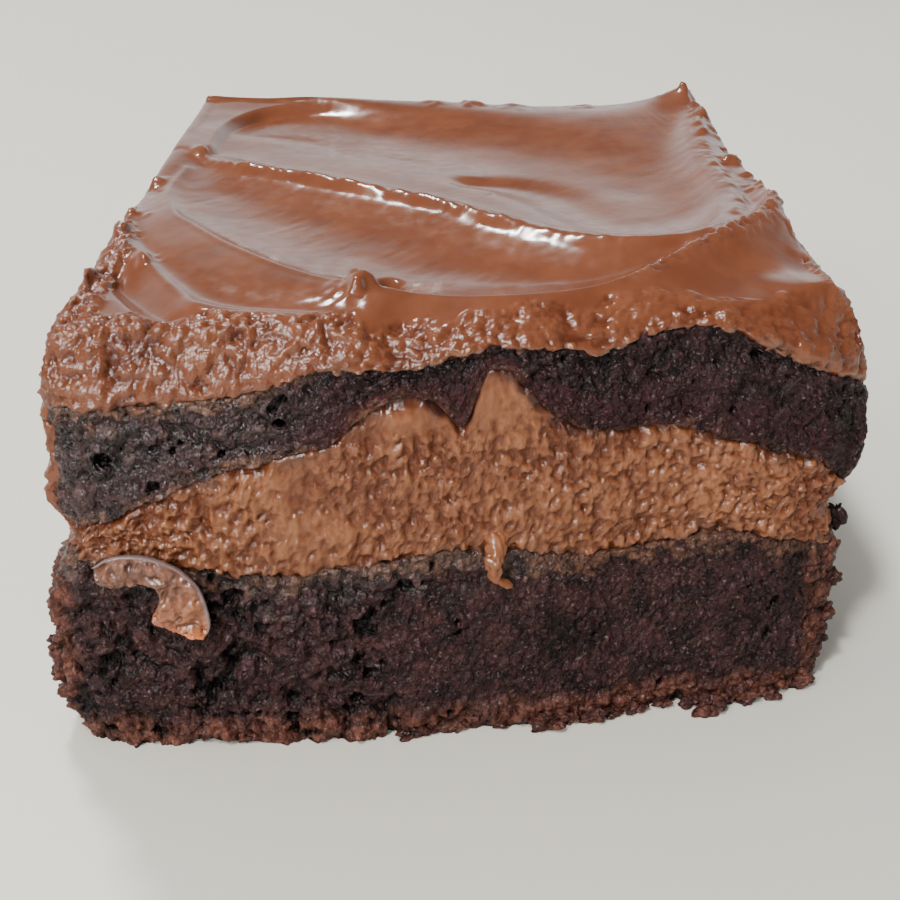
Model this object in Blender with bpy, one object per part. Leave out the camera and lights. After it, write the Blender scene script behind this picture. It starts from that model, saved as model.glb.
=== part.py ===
"""Slice of chocolate mud cake: two dark cake layers, chocolate cream filling between
them, spread chocolate frosting on top with a thin skin of it down the left side, and
one curl of cream stuck to the front of the lower cake.

Frame: metres, +Z up, the cut front faces -Y, the origin is the middle of the
footprint at the height of the base. All named sizes below are in millimetres."""

import math

import bmesh
import bpy
import numpy as np
from mathutils import Vector, noise

MM = 0.001

# ---- overall sizes ------------------------------------------------------------
GAP = 0.3                     # clearance between two neighbouring solids
SHIFT_X = -1.00               # moves the traced outline onto the middle of its footprint
SHIFT_Y = 1.5
CENTRE_X = 0.6                # middle of the traced outline
CENTRE_Y = -0.4

COLUMNS = 38                  # fine grid of the spread top
ROWS = 46
CROWD = 0.30                  # how much the grid lines crowd towards the edges
CORNER_CUT = 0.024            # rounding of the four upright corners
CORNER_POWER = 18

# outline of the slice, seen from above: (x, y of the cut front)
FRONT_LINE = [(-38, -43.4), (-34.5, -44.6), (-27, -44.9), (-20, -44.5), (-10, -44.2),
              (0, -42.9), (9, -41.6), (15, -40.0), (21, -38.4), (27, -37.8), (33, -36.7),
              (40, -33.6)]
BACK_LINE = [(-38, 43.4), (-20, 43.9), (0, 43.1), (15, 42.4), (28, 42.9), (40, 42.2)]
# (height, x of the side)
LEFT_LINE = [(0, -36.6), (4, -39.0), (10, -39.2), (15, -38.6), (18, -37.6), (21, -36.4),
             (22.7, -35.9), (25, -37.7), (30, -37.8), (35, -37.5), (40, -36.4), (44, -34.9)]
RIGHT_LINE = [(0, 38.7), (3, 39.2), (7, 39.7), (12, 39.8), (16, 39.5), (19, 38.8), (21, 38.4),
              (22.7, 39.9), (25, 41.2), (29, 41.6), (32, 41.2), (35, 40.6), (38, 39.9),
              (41, 38.3), (44, 36.8)]
LEFT_TAPER = 1.2              # how much each side runs in towards the back
RIGHT_TAPER = 3.0
SIDE_CALM = 0.55              # share of the side bulges that is left at the back

# ---- layer borders along the front: (x, height) --------------------------------
BOTTOM_TOP = [(-38, 21.2), (-34, 21.0), (-30, 20.5), (-25, 19.8), (-20, 18.8), (-15, 18.7),
              (-10, 19.5), (-5, 20.0), (0, 20.5), (5, 20.4), (10, 19.4), (15, 18.9),
              (20, 19.1), (25, 19.8), (30, 19.1), (35, 17.7), (40, 17.2)]
FILLING_TOP = [(-38, 24.2), (-33, 24.3), (-30, 25.3), (-27, 27.0), (-22, 29.0), (-18, 30.0),
               (-14, 31.0), (-10.5, 32.4), (-8.6, 35.0), (-6, 37.2), (-3, 37.8), (-0.5, 36.4),
               (1, 37.4), (3.5, 38.9), (6, 38.2), (8.5, 35.8), (11, 33.6), (14, 32.2),
               (20, 31.7), (25, 30.3), (29, 28.8), (33, 26.8), (40, 23.4)]
CAKE_TOP = [(-38, 35.0), (-33, 36.3), (-28, 36.2), (-24, 36.6), (-17, 37.5), (-13, 38.9),
            (-8, 39.6), (-5, 39.0), (-1, 40.0), (3, 40.7), (8, 40.4), (14, 40.0),
            (20, 41.2), (24, 41.2), (28, 39.8), (31, 38.2), (34, 36.2), (40, 33.6)]
BOTTOM_TOP_INSIDE = 19.6      # level of each border in the hidden middle
FILLING_TOP_INSIDE = 29.6
CAKE_TOP_INSIDE = 37.6
BORDER_DEPTH = 11.0           # how far the front shape of a border runs in

# ---- spread top -----------------------------------------------------------------
SPREAD_LEVEL = 42.8
# ridges: name -> (points (x, y, rise, near width), far width, far share that is steep)
BACK_RIM = [(-33.5, 42.8, 1.9, 1.6), (-24, 43.3, 1.9, 1.5), (-17, 42.4, 1.8, 2.0),
            (-9, 40.5, 1.6, 4.5), (0, 38.0, 1.4, 7.5), (10, 36.2, 1.0, 10.0),
            (18, 36.0, 0.8, 11.0), (25, 37.0, 1.0, 10.0), (29, 38.6, 1.9, 7.0),
            (31.8, 40.4, 3.7, 3.2)]
LEFT_RIM = [(-33, 42, 1.4, 2.6), (-33, 25, 1.3, 2.6), (-33, 12, 1.2, 2.4),
            (-33.6, 3, 0.9, 1.6)]
MIDDLE_CREST = [(-29, 14.6, 0.5, 2.2), (-23, 8.4, 1.3, 3.0), (-17, 4.2, 1.6, 3.4),
                (-11, -0.2, 1.75, 3.8), (-5, -4.6, 1.9, 4.4), (0, -8.6, 2.0, 5.0),
                (5.5, -14.2, 2.1, 5.4), (11.5, -19.6, 2.2, 5.0), (17.3, -22.4, 2.4, 4.2),
                (23, -22.4, 2.6, 3.6), (26.9, -18.6, 2.6, 3.4), (29.1, -11.4, 2.4, 3.0),
                (29.7, -1.5, 2.0, 2.8), (29.4, 9.5, 1.7, 2.8), (30.2, 24, 1.4, 3.0),
                (32, 34, 1.2, 3.0)]
FRONT_LIP = [(-30.9, 8.5, 0.5, 1.5), (-31.4, -1.0, 0.9, 2.0), (-29.6, -10.2, 1.15, 3.4),
             (-26.3, -16.0, 1.25, 5.0), (-22.4, -21.9, 1.3, 6.5), (-17.5, -27.7, 1.35, 7.0),
             (-11.7, -33.0, 1.4, 6.0), (-7.6, -35.9, 1.55, 5.0), (-3.5, -37.0, 1.4, 4.0),
             (2, -37.7, 1.3, 4.0), (8, -37.2, 1.4, 4.0), (13.6, -35.4, 1.7, 4.2),
             (18.3, -32.2, 2.1, 4.6), (22.2, -27.9, 2.6, 5.0), (26.6, -23.6, 2.9, 5.0),
             (31.2, -17.6, 3.0, 4.4), (34.2, -11.4, 3.3, 2.4), (35.4, -8.8, 3.7, 1.4)]
OUTER_RIDGE = [(-34.8, -8.0, 0.7, 1.4), (-33.6, -17.0, 0.9, 1.6), (-30.6, -24.6, 1.1, 1.8),
               (-27.4, -31.6, 1.15, 1.8), (-24.4, -37.0, 1.1, 1.6), (-20.6, -39.4, 1.0, 1.6),
               (-14.8, -40.8, 0.9, 1.6), (-9, -41.2, 0.6, 1.6)]
RIGHT_RIM = [(32.0, 38, 1.6, 2.8), (31.8, 25, 1.4, 2.6), (32.6, 10, 1.2, 2.6),
             (33.6, 0, 1.6, 2.6), (35.0, -7.5, 2.4, 2.2)]
RIGHT_FRONT = [(30, -28.6, 0.6, 3.0), (33, -30.5, 0.7, 3.2), (36.4, -31.5, 0.6, 2.4)]
# troughs: points (x, y, depth, half width)
FAR_STROKE = [(-24, 35, 0.4, 7.0), (-12, 31, 0.9, 10.0), (3, 23, 1.2, 11.5),
              (15, 10, 1.2, 11.0), (21, -6, 0.9, 8.5)]
NEAR_STROKE = [(-25, -3, 0.3, 7.0), (-12, -15, 0.5, 9.0), (0, -25, 0.6, 9.0),
               (11, -30, 0.4, 5.0)]
SMALL_STROKE = [(2.8, 6.6, 0.75, 2.4), (7.5, 5.6, 0.8, 4.0), (11.5, 0.4, 0.7, 4.4),
                (14.4, -7.0, 0.5, 3.6), (16.4, -13.0, 0.2, 2.4)]
LEFT_HOLLOW = [(-32.2, -23.5, 0.5, 1.2), (-30.2, -29.5, 1.5, 1.9), (-26.8, -36.0, 1.3, 1.9),
               (-24.0, -40.2, 0.8, 1.3)]
FOLD_LINE = [(-33.0, -16.5, 0.3, 0.9), (-29.6, -22.8, 0.5, 1.0), (-25.0, -30.5, 0.6, 1.1),
             (-19.5, -36.4, 0.6, 1.2), (-11.5, -38.9, 0.35, 1.2)]
NUB_PLACE = (-7.9, -35.3)
NUB_RISE = 1.9
NUB_WIDTH = 1.15
NUB_HOLLOW = (-5.9, -34.6)
NUB_HOLLOW_DEPTH = 1.1
# how the cut front of the frosting leans: (x, slope), rise of its foot over the cake
FACE_LEAN = [(-38, 2.4), (-18, 2.2), (-10, 1.3), (-4, 0.75), (8, 0.72), (18, 0.72),
             (26, 0.85), (33, 1.3), (40, 1.8)]
FACE_FOOT = 1.1
RIM_FOOT = 41.0
RIM_LEAN = 3.4

# ---- small parts ----------------------------------------------------------------
SKIN_THICK = 1.1              # frosting skin on the left side of the upper cake
SET_BACK_CLEAR = 0.45         # extra clearance where the upper cake is set back
SKIN_FROM_Y = -42.6
SKIN_TO_Y = 41.8
TONGUE = (4.7, 19.9)          # x and height of the hanging tongue of cream
TONGUE_HALF = (1.5, 0.8, 2.7)
# curl, from its free end on the left: (outer edge x, height, inner edge x, height)
CURL_EDGES = [(-33.7, 20.8, -33.5, 20.2), (-31.7, 21.6, -31.5, 19.8),
              (-29.6, 21.9, -29.7, 19.4), (-27.0, 21.6, -28.2, 18.9),
              (-24.7, 20.4, -27.6, 17.8), (-23.1, 18.4, -28.1, 16.3),
              (-22.5, 16.0, -28.3, 14.9), (-22.6, 14.1, -26.2, 13.9),
              (-23.0, 12.7, -24.1, 12.8)]
CURL_HALF = 0.75              # half of how far the curl stands off the cut

MATERIALS = {
    "mud_cake": ((0.030, 0.012, 0.009), 0.55),
    "mud_cake_upper": ((0.024, 0.010, 0.009), 0.45),
    "chocolate_cream": ((0.235, 0.100, 0.052), 0.38),
    "frosting": ((0.250, 0.098, 0.050), 0.30),
    "curl_cream": ((0.330, 0.160, 0.095), 0.35),
}


def smooth_line(value, points):
    """Value of a smooth line through (place, height) points, level past its ends."""
    place = np.array([p[0] for p in points], dtype=float)
    height = np.array([p[1] for p in points], dtype=float)
    slope = np.gradient(height, place)
    value = np.clip(value, place[0], place[-1])
    i = np.clip(np.searchsorted(place, value) - 1, 0, len(place) - 2)
    wide = place[i + 1] - place[i]
    t = (value - place[i]) / wide
    start = (1 + 2 * t) * (1 - t) ** 2 * height[i] + t * (1 - t) ** 2 * wide * slope[i]
    end = t * t * (3 - 2 * t) * height[i + 1] + t * t * (t - 1) * wide * slope[i + 1]
    return start + end


def smooth_step(value, low, high):
    t = np.clip((value - low) / (high - low), 0.0, 1.0)
    return t * t * (3 - 2 * t)


def smooth_path(points, pieces=6):
    """Rows of a smooth path through hand placed points of any number of values."""
    rows = np.array(points, dtype=float)
    before = np.vstack([2 * rows[0] - rows[1], rows, 2 * rows[-1] - rows[-2]])
    path = []
    for i in range(1, len(rows)):
        a, b, c, d = before[i - 1], before[i], before[i + 1], before[i + 2]
        for t in np.arange(pieces) / pieces:
            path.append(0.5 * (2 * b + (c - a) * t + (2 * a - 5 * b + 4 * c - d) * t * t
                               + (3 * b - a - 3 * c + d) * t ** 3))
    path.append(rows[-1])
    return np.array(path)


def along_path(x, y, points):
    """Distance, side and blended values at the nearest place of a path."""
    path = smooth_path(points)
    nearest = np.full(x.shape, 1e9)
    side = np.zeros(x.shape)
    rise = np.zeros(x.shape)
    width = np.ones(x.shape)
    for a, b in zip(path[:-1], path[1:]):
        dx, dy = b[0] - a[0], b[1] - a[1]
        t = np.clip(((x - a[0]) * dx + (y - a[1]) * dy) / (dx * dx + dy * dy), 0, 1)
        off_x, off_y = x - a[0] - t * dx, y - a[1] - t * dy
        far = np.hypot(off_x, off_y)
        closer = far < nearest
        nearest = np.where(closer, far, nearest)
        side = np.where(closer, dx * off_y - dy * off_x, side)
        rise = np.where(closer, a[2] + t * (b[2] - a[2]), rise)
        width = np.where(closer, a[3] + t * (b[3] - a[3]), width)
    return nearest, side, rise, width


def ridge(x, y, points, far_width, steep_share=0.0):
    """Spread ridge: rounded towards the front, sharper behind its crest."""
    away, side, rise, width = along_path(x, y, points)
    near = np.exp(-(away / width) ** 1.7)
    steep = np.exp(-(away / 0.9) ** 1.3)
    wide = np.exp(-(away / far_width) ** 1.6)
    behind = steep_share * steep + (1 - steep_share) * wide
    return rise * np.where(side < 0, near, behind)


def trough(x, y, points):
    away, side, depth, width = along_path(x, y, points)
    return depth * np.exp(-(away / width) ** 2.6)


def front_line(x):
    return smooth_line(x, FRONT_LINE)


def left_side(z, along):
    """x of the left side; along runs from 0 at the cut front to 1 at the back."""
    calm = 1 - (1 - SIDE_CALM) * along
    return -36.4 + (smooth_line(z, LEFT_LINE) + 36.4) * calm + LEFT_TAPER * along


def right_side(z, along):
    calm = 1 - (1 - SIDE_CALM) * along
    return 37.4 + (smooth_line(z, RIGHT_LINE) - 37.4) * calm - RIGHT_TAPER * along ** 0.8


def border(x, y, points, inside):
    """Height of a border between two layers; its front shape fades inwards."""
    run_in = smooth_step(y - front_line(x), 0.5, BORDER_DEPTH)
    wave = 0.5 * np.sin(x * 0.16 + 1.0) * np.sin(y * 0.13)
    return smooth_line(x, points) * (1 - run_in) + (inside + wave) * run_in


def soft_lower(a, b, blend):
    """The lower of two heights with a softened join."""
    return 0.5 * (a + b - np.sqrt((a - b) ** 2 + blend * blend))


def top_height(x, y):
    """Height of the spread frosting."""
    ridges = [ridge(x, y, BACK_RIM, 9.0),
              ridge(x, y, LEFT_RIM, 3.0),
              ridge(x, y, MIDDLE_CREST, 2.6, 0.35),
              ridge(x, y, FRONT_LIP, 5.0, 0.45),
              ridge(x, y, OUTER_RIDGE, 1.6),
              ridge(x, y, RIGHT_RIM, 3.0),
              ridge(x, y, RIGHT_FRONT, 3.0)]
    raised = sum(np.maximum(r, 0) ** 3 for r in ridges) ** (1 / 3)
    sunk = (trough(x, y, FAR_STROKE) + trough(x, y, NEAR_STROKE)
            + trough(x, y, SMALL_STROKE) + trough(x, y, LEFT_HOLLOW)
            + trough(x, y, FOLD_LINE))
    nub = NUB_RISE * np.exp(-((x - NUB_PLACE[0]) ** 2 + (y - NUB_PLACE[1]) ** 2)
                            / NUB_WIDTH ** 2)
    hollow = NUB_HOLLOW_DEPTH * np.exp(-((x - NUB_HOLLOW[0]) ** 2
                                         + (y - NUB_HOLLOW[1]) ** 2) / 1.4)
    height = SPREAD_LEVEL + raised - sunk + nub - hollow
    foot = smooth_line(x, CAKE_TOP) + FACE_FOOT
    face = foot + smooth_line(x, FACE_LEAN) * (y - front_line(x))
    height = soft_lower(height, face, 0.5)
    to_back = smooth_line(x, BACK_LINE) - y
    along = np.clip((y + 44.0) / 87.0, 0, 1)
    to_left = x - left_side(43.0, along)
    to_right = right_side(43.0, along) - x
    for distance in (to_back, to_left, to_right):
        height = soft_lower(height, RIM_FOOT + RIM_LEAN * np.maximum(distance, 0), 0.4)
    return height


def crowded(count):
    """Grid places from -1 to 1, closer together at both ends."""
    t = np.linspace(0, 1, count + 1)
    return 2 * (t - CROWD * np.sin(2 * math.pi * t) / (2 * math.pi)) - 1


def plan(u, v, z, inset_left=0.0):
    """Place in the outline of the slice for u and v from -1 to 1 at height z."""
    cut = 1 - CORNER_CUT * np.abs(u) ** CORNER_POWER * np.abs(v) ** CORNER_POWER
    across = 0.5 * (u * cut + 1)
    along = 0.5 * (v * cut + 1)
    left = left_side(z, along)
    right = right_side(z, along)
    x = left + (right - left) * across + inset_left * np.maximum(0.0, 1 - (u + 1) / 0.16)
    y = front_line(x) + (smooth_line(x, BACK_LINE) - front_line(x)) * along
    return x, y


def ring_places(columns, rows, scale=1.0):
    """Border of a grid as (u, v), counter clockwise from the front left corner."""
    us = crowded(columns)
    vs = crowded(rows)
    places = [(u, -1.0) for u in us[:-1]]
    places += [(1.0, v) for v in vs[:-1]]
    places += [(u, 1.0) for u in us[:0:-1]]
    places += [(-1.0, v) for v in vs[:0:-1]]
    return np.array(places) * scale


RIM_PLACES = ring_places(COLUMNS, ROWS)
INNER_PLACES = [ring_places(14, 16, 0.90), ring_places(5, 6, 0.58)]


def add_ring(bm, places, level):
    """Closed loop of edges laid out flat at its own level."""
    verts = bmesh.ops.create_circle(bm, segments=len(places), radius=1.0)["verts"]
    for vert, (u, v) in zip(verts, places):
        vert.co = (u, v, level)
    return verts


def loop_edges(verts):
    ring = set(verts)
    return [e for e in {e for v in verts for e in v.link_edges}
            if e.verts[0] in ring and e.verts[1] in ring]


def join_rings(bm, lower, upper):
    edges = loop_edges(lower) + loop_edges(upper)
    bmesh.ops.bridge_loops(bm, edges=edges)


def cut_relief(x, y, z, strength):
    """How far a cut side is broken inwards."""
    rough = noise.noise(Vector((x * 0.21, y * 0.21, z * 0.30)))
    fine = noise.noise(Vector((x * 0.55 + 9, y * 0.55, z * 0.62)))
    return strength * (0.55 + 0.55 * rough + 0.45 * fine)


def push_in(x, y, depth):
    """Moves a place on a side towards the middle of the slice."""
    dx, dy = CENTRE_X - x, CENTRE_Y - y
    to_side = min(abs(abs(dx) - 37.5), 6.0) / 6.0
    to_front = min(abs(abs(dy) - 43.0), 6.0) / 6.0
    along_x = math.copysign(1.0, dx) * (1 - to_side)
    along_y = math.copysign(1.0, dy) * (1 - to_front)
    size = math.hypot(along_x, along_y) or 1.0
    return x + depth * along_x / size, y + depth * along_y / size


def sheet_template():
    """Coarse flat sheet over the outline; every layer border uses the same one."""
    bm = bmesh.new()
    outer = add_ring(bm, RIM_PLACES, 0.0)
    for step, places in enumerate(INNER_PLACES):
        inner = add_ring(bm, places, -1.0 - step)
        join_rings(bm, outer, inner)
        outer = inner
    bmesh.ops.contextual_create(bm, geom=loop_edges(outer))
    bmesh.ops.triangulate(bm, faces=bm.faces[:], quad_method="FIXED")
    mesh = bpy.data.meshes.new("sheet")
    bm.to_mesh(mesh)
    bm.free()
    return mesh


def add_sheet(bm, template, level, height):
    """Adds the sheet; gives its rim and the places of its inner points."""
    before = len(bm.verts)
    bm.from_mesh(template)
    bm.verts.ensure_lookup_table()
    verts = bm.verts[before:]
    placed = []
    for vert in verts[len(RIM_PLACES):]:
        x, y = plan(vert.co.x, vert.co.y, 30.0)
        placed.append((vert, (float(x), float(y), float(height(x, y)))))
    for vert in verts:
        vert.co.z = level
    return verts[:len(RIM_PLACES)], placed


def layer(name, template, low, high, levels, strength, inset_left=0.0):
    """One cake or cream layer between two border functions of (x, y)."""
    bm = bmesh.new()
    lowest, placed = add_sheet(bm, template, 0.0, low)
    highest, more = add_sheet(bm, template, levels, high)
    placed += more
    rims = [lowest] + [add_ring(bm, RIM_PLACES, row) for row in range(1, levels)] + [highest]
    for lower, upper in zip(rims[:-1], rims[1:]):
        join_rings(bm, lower, upper)
    for row, rim in enumerate(rims):
        share = row / levels
        for vert, (u, v) in zip(rim, RIM_PLACES):
            x, y = plan(u, v, 22.0)
            z = float(low(x, y) + share * (high(x, y) - low(x, y)))
            x, y = plan(u, v, z, inset_left)
            z = float(low(x, y) + share * (high(x, y) - low(x, y)))
            if inset_left and u < -0.9:
                z += SET_BACK_CLEAR * (1 - 2 * share)
            inward = cut_relief(x, y, z, strength) * math.sin(math.pi * share)
            if low is base_level and row == 0:
                inward = cut_relief(x, y, z, 0.5)
            x, y = push_in(float(x), float(y), max(inward, 0.0))
            placed.append((vert, (x, y, z)))
    bmesh.ops.triangulate(bm, faces=bm.faces[:], quad_method="FIXED")
    for vert, (x, y, z) in placed:
        vert.co = (x, y, z)
    return finish(bm, name)


def finish(bm, name):
    """Object in metres with outward faces."""
    bmesh.ops.recalc_face_normals(bm, faces=bm.faces[:])
    for vert in bm.verts:
        x, y, z = vert.co
        vert.co = ((x + SHIFT_X) * MM, (y + SHIFT_Y) * MM, z * MM)
    if bm.calc_volume(signed=True) < 0:
        bmesh.ops.reverse_faces(bm, faces=bm.faces[:])
    for face in bm.faces:
        face.smooth = True
    mesh = bpy.data.meshes.new(name)
    bm.to_mesh(mesh)
    bm.free()
    obj = bpy.data.objects.new(name, mesh)
    bpy.context.scene.collection.objects.link(obj)
    return obj


def base_level(x, y):
    return np.zeros_like(np.asarray(x, dtype=float))


def bottom_top(x, y):
    return border(x, y, BOTTOM_TOP, BOTTOM_TOP_INSIDE)


def filling_top(x, y):
    return border(x, y, FILLING_TOP, FILLING_TOP_INSIDE)


def cake_top(x, y):
    return border(x, y, CAKE_TOP, CAKE_TOP_INSIDE)


def raised_by(height, amount):
    return lambda x, y: height(x, y) + amount


def frosting_body(template):
    """Spread top, its upright rim and the hidden sheet on the cake."""
    bm = bmesh.new()
    bmesh.ops.create_grid(bm, x_segments=COLUMNS, y_segments=ROWS, size=1.0)
    us, vs = crowded(COLUMNS), crowded(ROWS)
    grid = list(bm.verts)
    u = np.array([us[round((v.co.x + 1) / 2 * COLUMNS)] for v in grid])
    v = np.array([vs[round((v.co.y + 1) / 2 * ROWS)] for v in grid])
    x, y = plan(u, v, 43.0)
    z = top_height(x, y)
    edge_x, edge_y = plan(u, v, np.minimum(z, 43.0))
    on_edge = np.maximum(np.abs(u), np.abs(v)) > 0.999
    x = np.where(on_edge, edge_x, x)
    y = np.where(on_edge, edge_y, y)
    placed = list(zip(grid, zip(x.tolist(), y.tolist(), z.tolist())))
    for vert, at_u, at_v in zip(grid, u, v):
        vert.co = (at_u, at_v, 2.0)
    rim = [vert for vert in grid if vert.is_boundary]
    rim.sort(key=lambda vert: turn_order(vert.co.x, vert.co.y))
    rim_spots = dict(placed)
    low = raised_by(cake_top, GAP)
    middle = add_ring(bm, RIM_PLACES, 1.0)
    lowest, more = add_sheet(bm, template, 0.0, low)
    placed += more
    join_rings(bm, rim, middle)
    join_rings(bm, middle, lowest)
    for i, (u, v) in enumerate(RIM_PLACES):
        x, y = plan(u, v, 38.0)
        x, y = plan(u, v, float(low(x, y)))
        foot = float(low(x, y))
        placed.append((lowest[i], (float(x), float(y), foot)))
        z = 0.5 * (foot + rim_spots[rim[i]][2])
        x, y = plan(u, v, z)
        inward = max(cut_relief(x, y, z, 0.5), 0.0)
        placed.append((middle[i], (*push_in(float(x), float(y), inward), z)))
    bmesh.ops.triangulate(bm, faces=bm.faces[:], quad_method="FIXED")
    for vert, (x, y, z) in placed:
        vert.co = (x, y, z)
    return finish(bm, "frosting")


def turn_order(u, v):
    """Order of border places, counter clockwise from the front left corner."""
    if v < -0.9999:
        return u + 1
    if u > 0.9999:
        return 2 + v + 1
    if v > 0.9999:
        return 4 + 1 - u
    return 6 + 1 - v


def side_skin():
    """Thin skin of frosting down the left side of the upper cake."""
    bm = bmesh.new()
    grid = bmesh.ops.create_grid(bm, x_segments=24, y_segments=5, size=1.0)["verts"]
    bmesh.ops.extrude_face_region(bm, geom=bm.faces[:])
    inner = [v for v in bm.verts if v not in set(grid)]
    for verts, inset in ((grid, 0.0), (inner, SKIN_THICK)):
        for vert in verts:
            share = (vert.co.x + 1) / 2
            y = SKIN_FROM_Y + share * (SKIN_TO_Y - SKIN_FROM_Y)
            x, _ = plan(-1.0, 2 * share - 1, 30.0)
            top = float(cake_top(x, np.array(y))) + 1.6
            bottom = float(filling_top(x, np.array(y))) + GAP + 0.25
            z = bottom + (vert.co.y + 1) / 2 * (top - bottom)
            x, _ = plan(-1.0, 2 * share - 1, z)
            wave = 0.2 * noise.noise(Vector((y * 0.2, z * 0.3, 3.0)))
            lean = 0.35 * smooth_step(z, top - 3.0, top)
            vert.co = (float(x) + inset + wave + lean + 0.15, y, z)
    return finish(bm, "side_skin")


def hanging_tongue():
    """Small drop of cream that hangs over the front of the lower cake."""
    bm = bmesh.new()
    bmesh.ops.create_uvsphere(bm, u_segments=12, v_segments=8, radius=1.0)
    x0, z0 = TONGUE
    y0 = float(front_line(x0)) - GAP - TONGUE_HALF[1]
    for vert in bm.verts:
        x, y, z = vert.co
        back = 1.9 * max(z - 0.15, 0.0)
        vert.co = (x0 + x * TONGUE_HALF[0] * (1 + 0.2 * z), y0 + y * TONGUE_HALF[1] + back,
                   z0 + z * TONGUE_HALF[2])
    return finish(bm, "tongue")


def cream_curl():
    """Hooked curl of cream lying flat against the front of the lower cake."""
    bm = bmesh.new()
    path = smooth_path(CURL_EDGES, 3)
    around = 12
    rings = []
    placed = []
    for row, (outer_x, outer_z, inner_x, inner_z) in enumerate(path):
        verts = bmesh.ops.create_circle(bm, segments=around, radius=1.0)["verts"]
        wide_x, wide_z = (outer_x - inner_x) / 2, (outer_z - inner_z) / 2
        x, z = inner_x + wide_x, inner_z + wide_z
        deep = CURL_HALF * min(1.0, 0.35 + math.hypot(wide_x, wide_z) / 2.0)
        y = float(front_line(x)) - GAP - 0.15 - CURL_HALF
        for i, vert in enumerate(verts):
            angle = 2 * math.pi * i / around
            side, out = math.cos(angle), deep * math.sin(angle)
            vert.co = (side, math.sin(angle), row)
            placed.append((vert, (x + side * wide_x, y + out, z + side * wide_z)))
        if rings:
            join_rings(bm, rings[-1], verts)
        rings.append(verts)
    for end in (rings[0], rings[-1]):
        bmesh.ops.contextual_create(bm, geom=loop_edges(end))
    bmesh.ops.triangulate(bm, faces=bm.faces[:], quad_method="FIXED")
    for vert, spot in placed:
        vert.co = spot
    return finish(bm, "cream_curl")


def fuse(body, tools):
    """Exact union of overlapping pieces into one closed body."""
    for tool in tools:
        cut = body.modifiers.new("fuse", "BOOLEAN")
        cut.operation = "UNION"
        cut.solver = "EXACT"
        cut.object = tool
        seen = bpy.context.evaluated_depsgraph_get()
        fused = bpy.data.meshes.new_from_object(body.evaluated_get(seen))
        body.modifiers.clear()
        body.data = fused
        bpy.data.objects.remove(tool, do_unlink=True)
    return body


def material(name):
    colour, roughness = MATERIALS[name]
    mat = bpy.data.materials.new(name)
    mat.use_nodes = True
    shader = mat.node_tree.nodes["Principled BSDF"]
    shader.inputs["Base Color"].default_value = (*colour, 1.0)
    shader.inputs["Roughness"].default_value = roughness
    shader.inputs["Metallic"].default_value = 0.0
    mat.diffuse_color = (*colour, 1.0)
    return mat


def main():
    for obj in list(bpy.data.objects):
        bpy.data.objects.remove(obj, do_unlink=True)
    sheet = sheet_template()
    nodes = {
        layer("bottom_cake", sheet, base_level, bottom_top, 6, 0.9): "mud_cake",
        fuse(layer("filling", sheet, raised_by(bottom_top, GAP), filling_top, 3, 0.6),
             [hanging_tongue()]): "chocolate_cream",
        layer("top_cake", sheet, raised_by(filling_top, GAP), cake_top, 3, 0.7,
              SKIN_THICK + 0.9): "mud_cake_upper",
        fuse(frosting_body(sheet), [side_skin()]): "frosting",
        cream_curl(): "curl_cream",
    }
    for obj, slot in nodes.items():
        obj.data.materials.clear()
        obj.data.materials.append(material(slot))


main()
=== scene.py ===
import itertools
import math

import bmesh
import bpy
import numpy as np
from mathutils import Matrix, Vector


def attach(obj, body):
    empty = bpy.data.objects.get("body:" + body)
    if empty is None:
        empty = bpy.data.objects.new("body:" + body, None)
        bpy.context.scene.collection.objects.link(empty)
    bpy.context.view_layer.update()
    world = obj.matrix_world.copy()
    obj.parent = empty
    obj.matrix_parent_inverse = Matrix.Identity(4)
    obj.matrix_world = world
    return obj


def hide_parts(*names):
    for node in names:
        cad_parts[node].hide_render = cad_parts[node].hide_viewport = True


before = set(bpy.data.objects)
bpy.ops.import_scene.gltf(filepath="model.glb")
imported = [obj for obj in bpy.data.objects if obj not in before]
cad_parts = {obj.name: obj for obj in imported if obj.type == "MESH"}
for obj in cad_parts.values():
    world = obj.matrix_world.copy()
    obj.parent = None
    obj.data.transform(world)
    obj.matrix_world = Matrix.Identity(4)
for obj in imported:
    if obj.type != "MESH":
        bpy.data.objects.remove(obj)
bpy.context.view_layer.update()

MM = 0.001
FINE = 1.0

# ---------------------------------------------------------------------------
# Sizes of the slice in millimetres, nearly the same as those of its solids
# ---------------------------------------------------------------------------
GAP = 0.3                 # between the curl or the tongue and the cut front
SMEAR_REACH = 0.6         # how far cream and frosting overlap the cake
SHIFT_X = -1.00           # from these places to the middle of the slice
SHIFT_Y = 1.5
CORNER_CUT = 0.024        # share by which the upright corners are rounded
CORNER_POWER = 18

# Outline of the slice: (x, y) of its front and back, (height, x) of its sides.
FRONT_LINE = [(-38, -43.4), (-34.5, -44.6), (-27, -44.9), (-20, -44.5), (-10, -44.2),
              (0, -42.9), (9, -41.6), (15, -40.0), (21, -38.4), (27, -37.8), (33, -36.7),
              (40, -33.6)]
BACK_LINE = [(-38, 43.4), (-20, 43.9), (0, 43.1), (15, 42.4), (28, 42.9), (40, 42.2)]
LEFT_LINE = [(0, -36.6), (4, -39.0), (10, -39.2), (15, -38.6), (18, -37.6), (21, -36.4),
             (22.7, -35.9), (25, -37.7), (30, -37.8), (35, -37.5), (40, -36.4), (44, -34.9)]
RIGHT_LINE = [(0, 38.7), (3, 39.2), (7, 39.7), (12, 39.8), (16, 39.5), (19, 38.8), (21, 38.4),
              (22.7, 39.9), (25, 41.2), (29, 41.6), (32, 41.2), (35, 40.6), (38, 39.9),
              (41, 38.3), (44, 36.8)]
LEFT_TAPER = 1.2          # the slice narrows by this much towards its back
RIGHT_TAPER = 3.0
SIDE_CALM = 0.55          # share of the sides' shape that is left at the back

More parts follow.
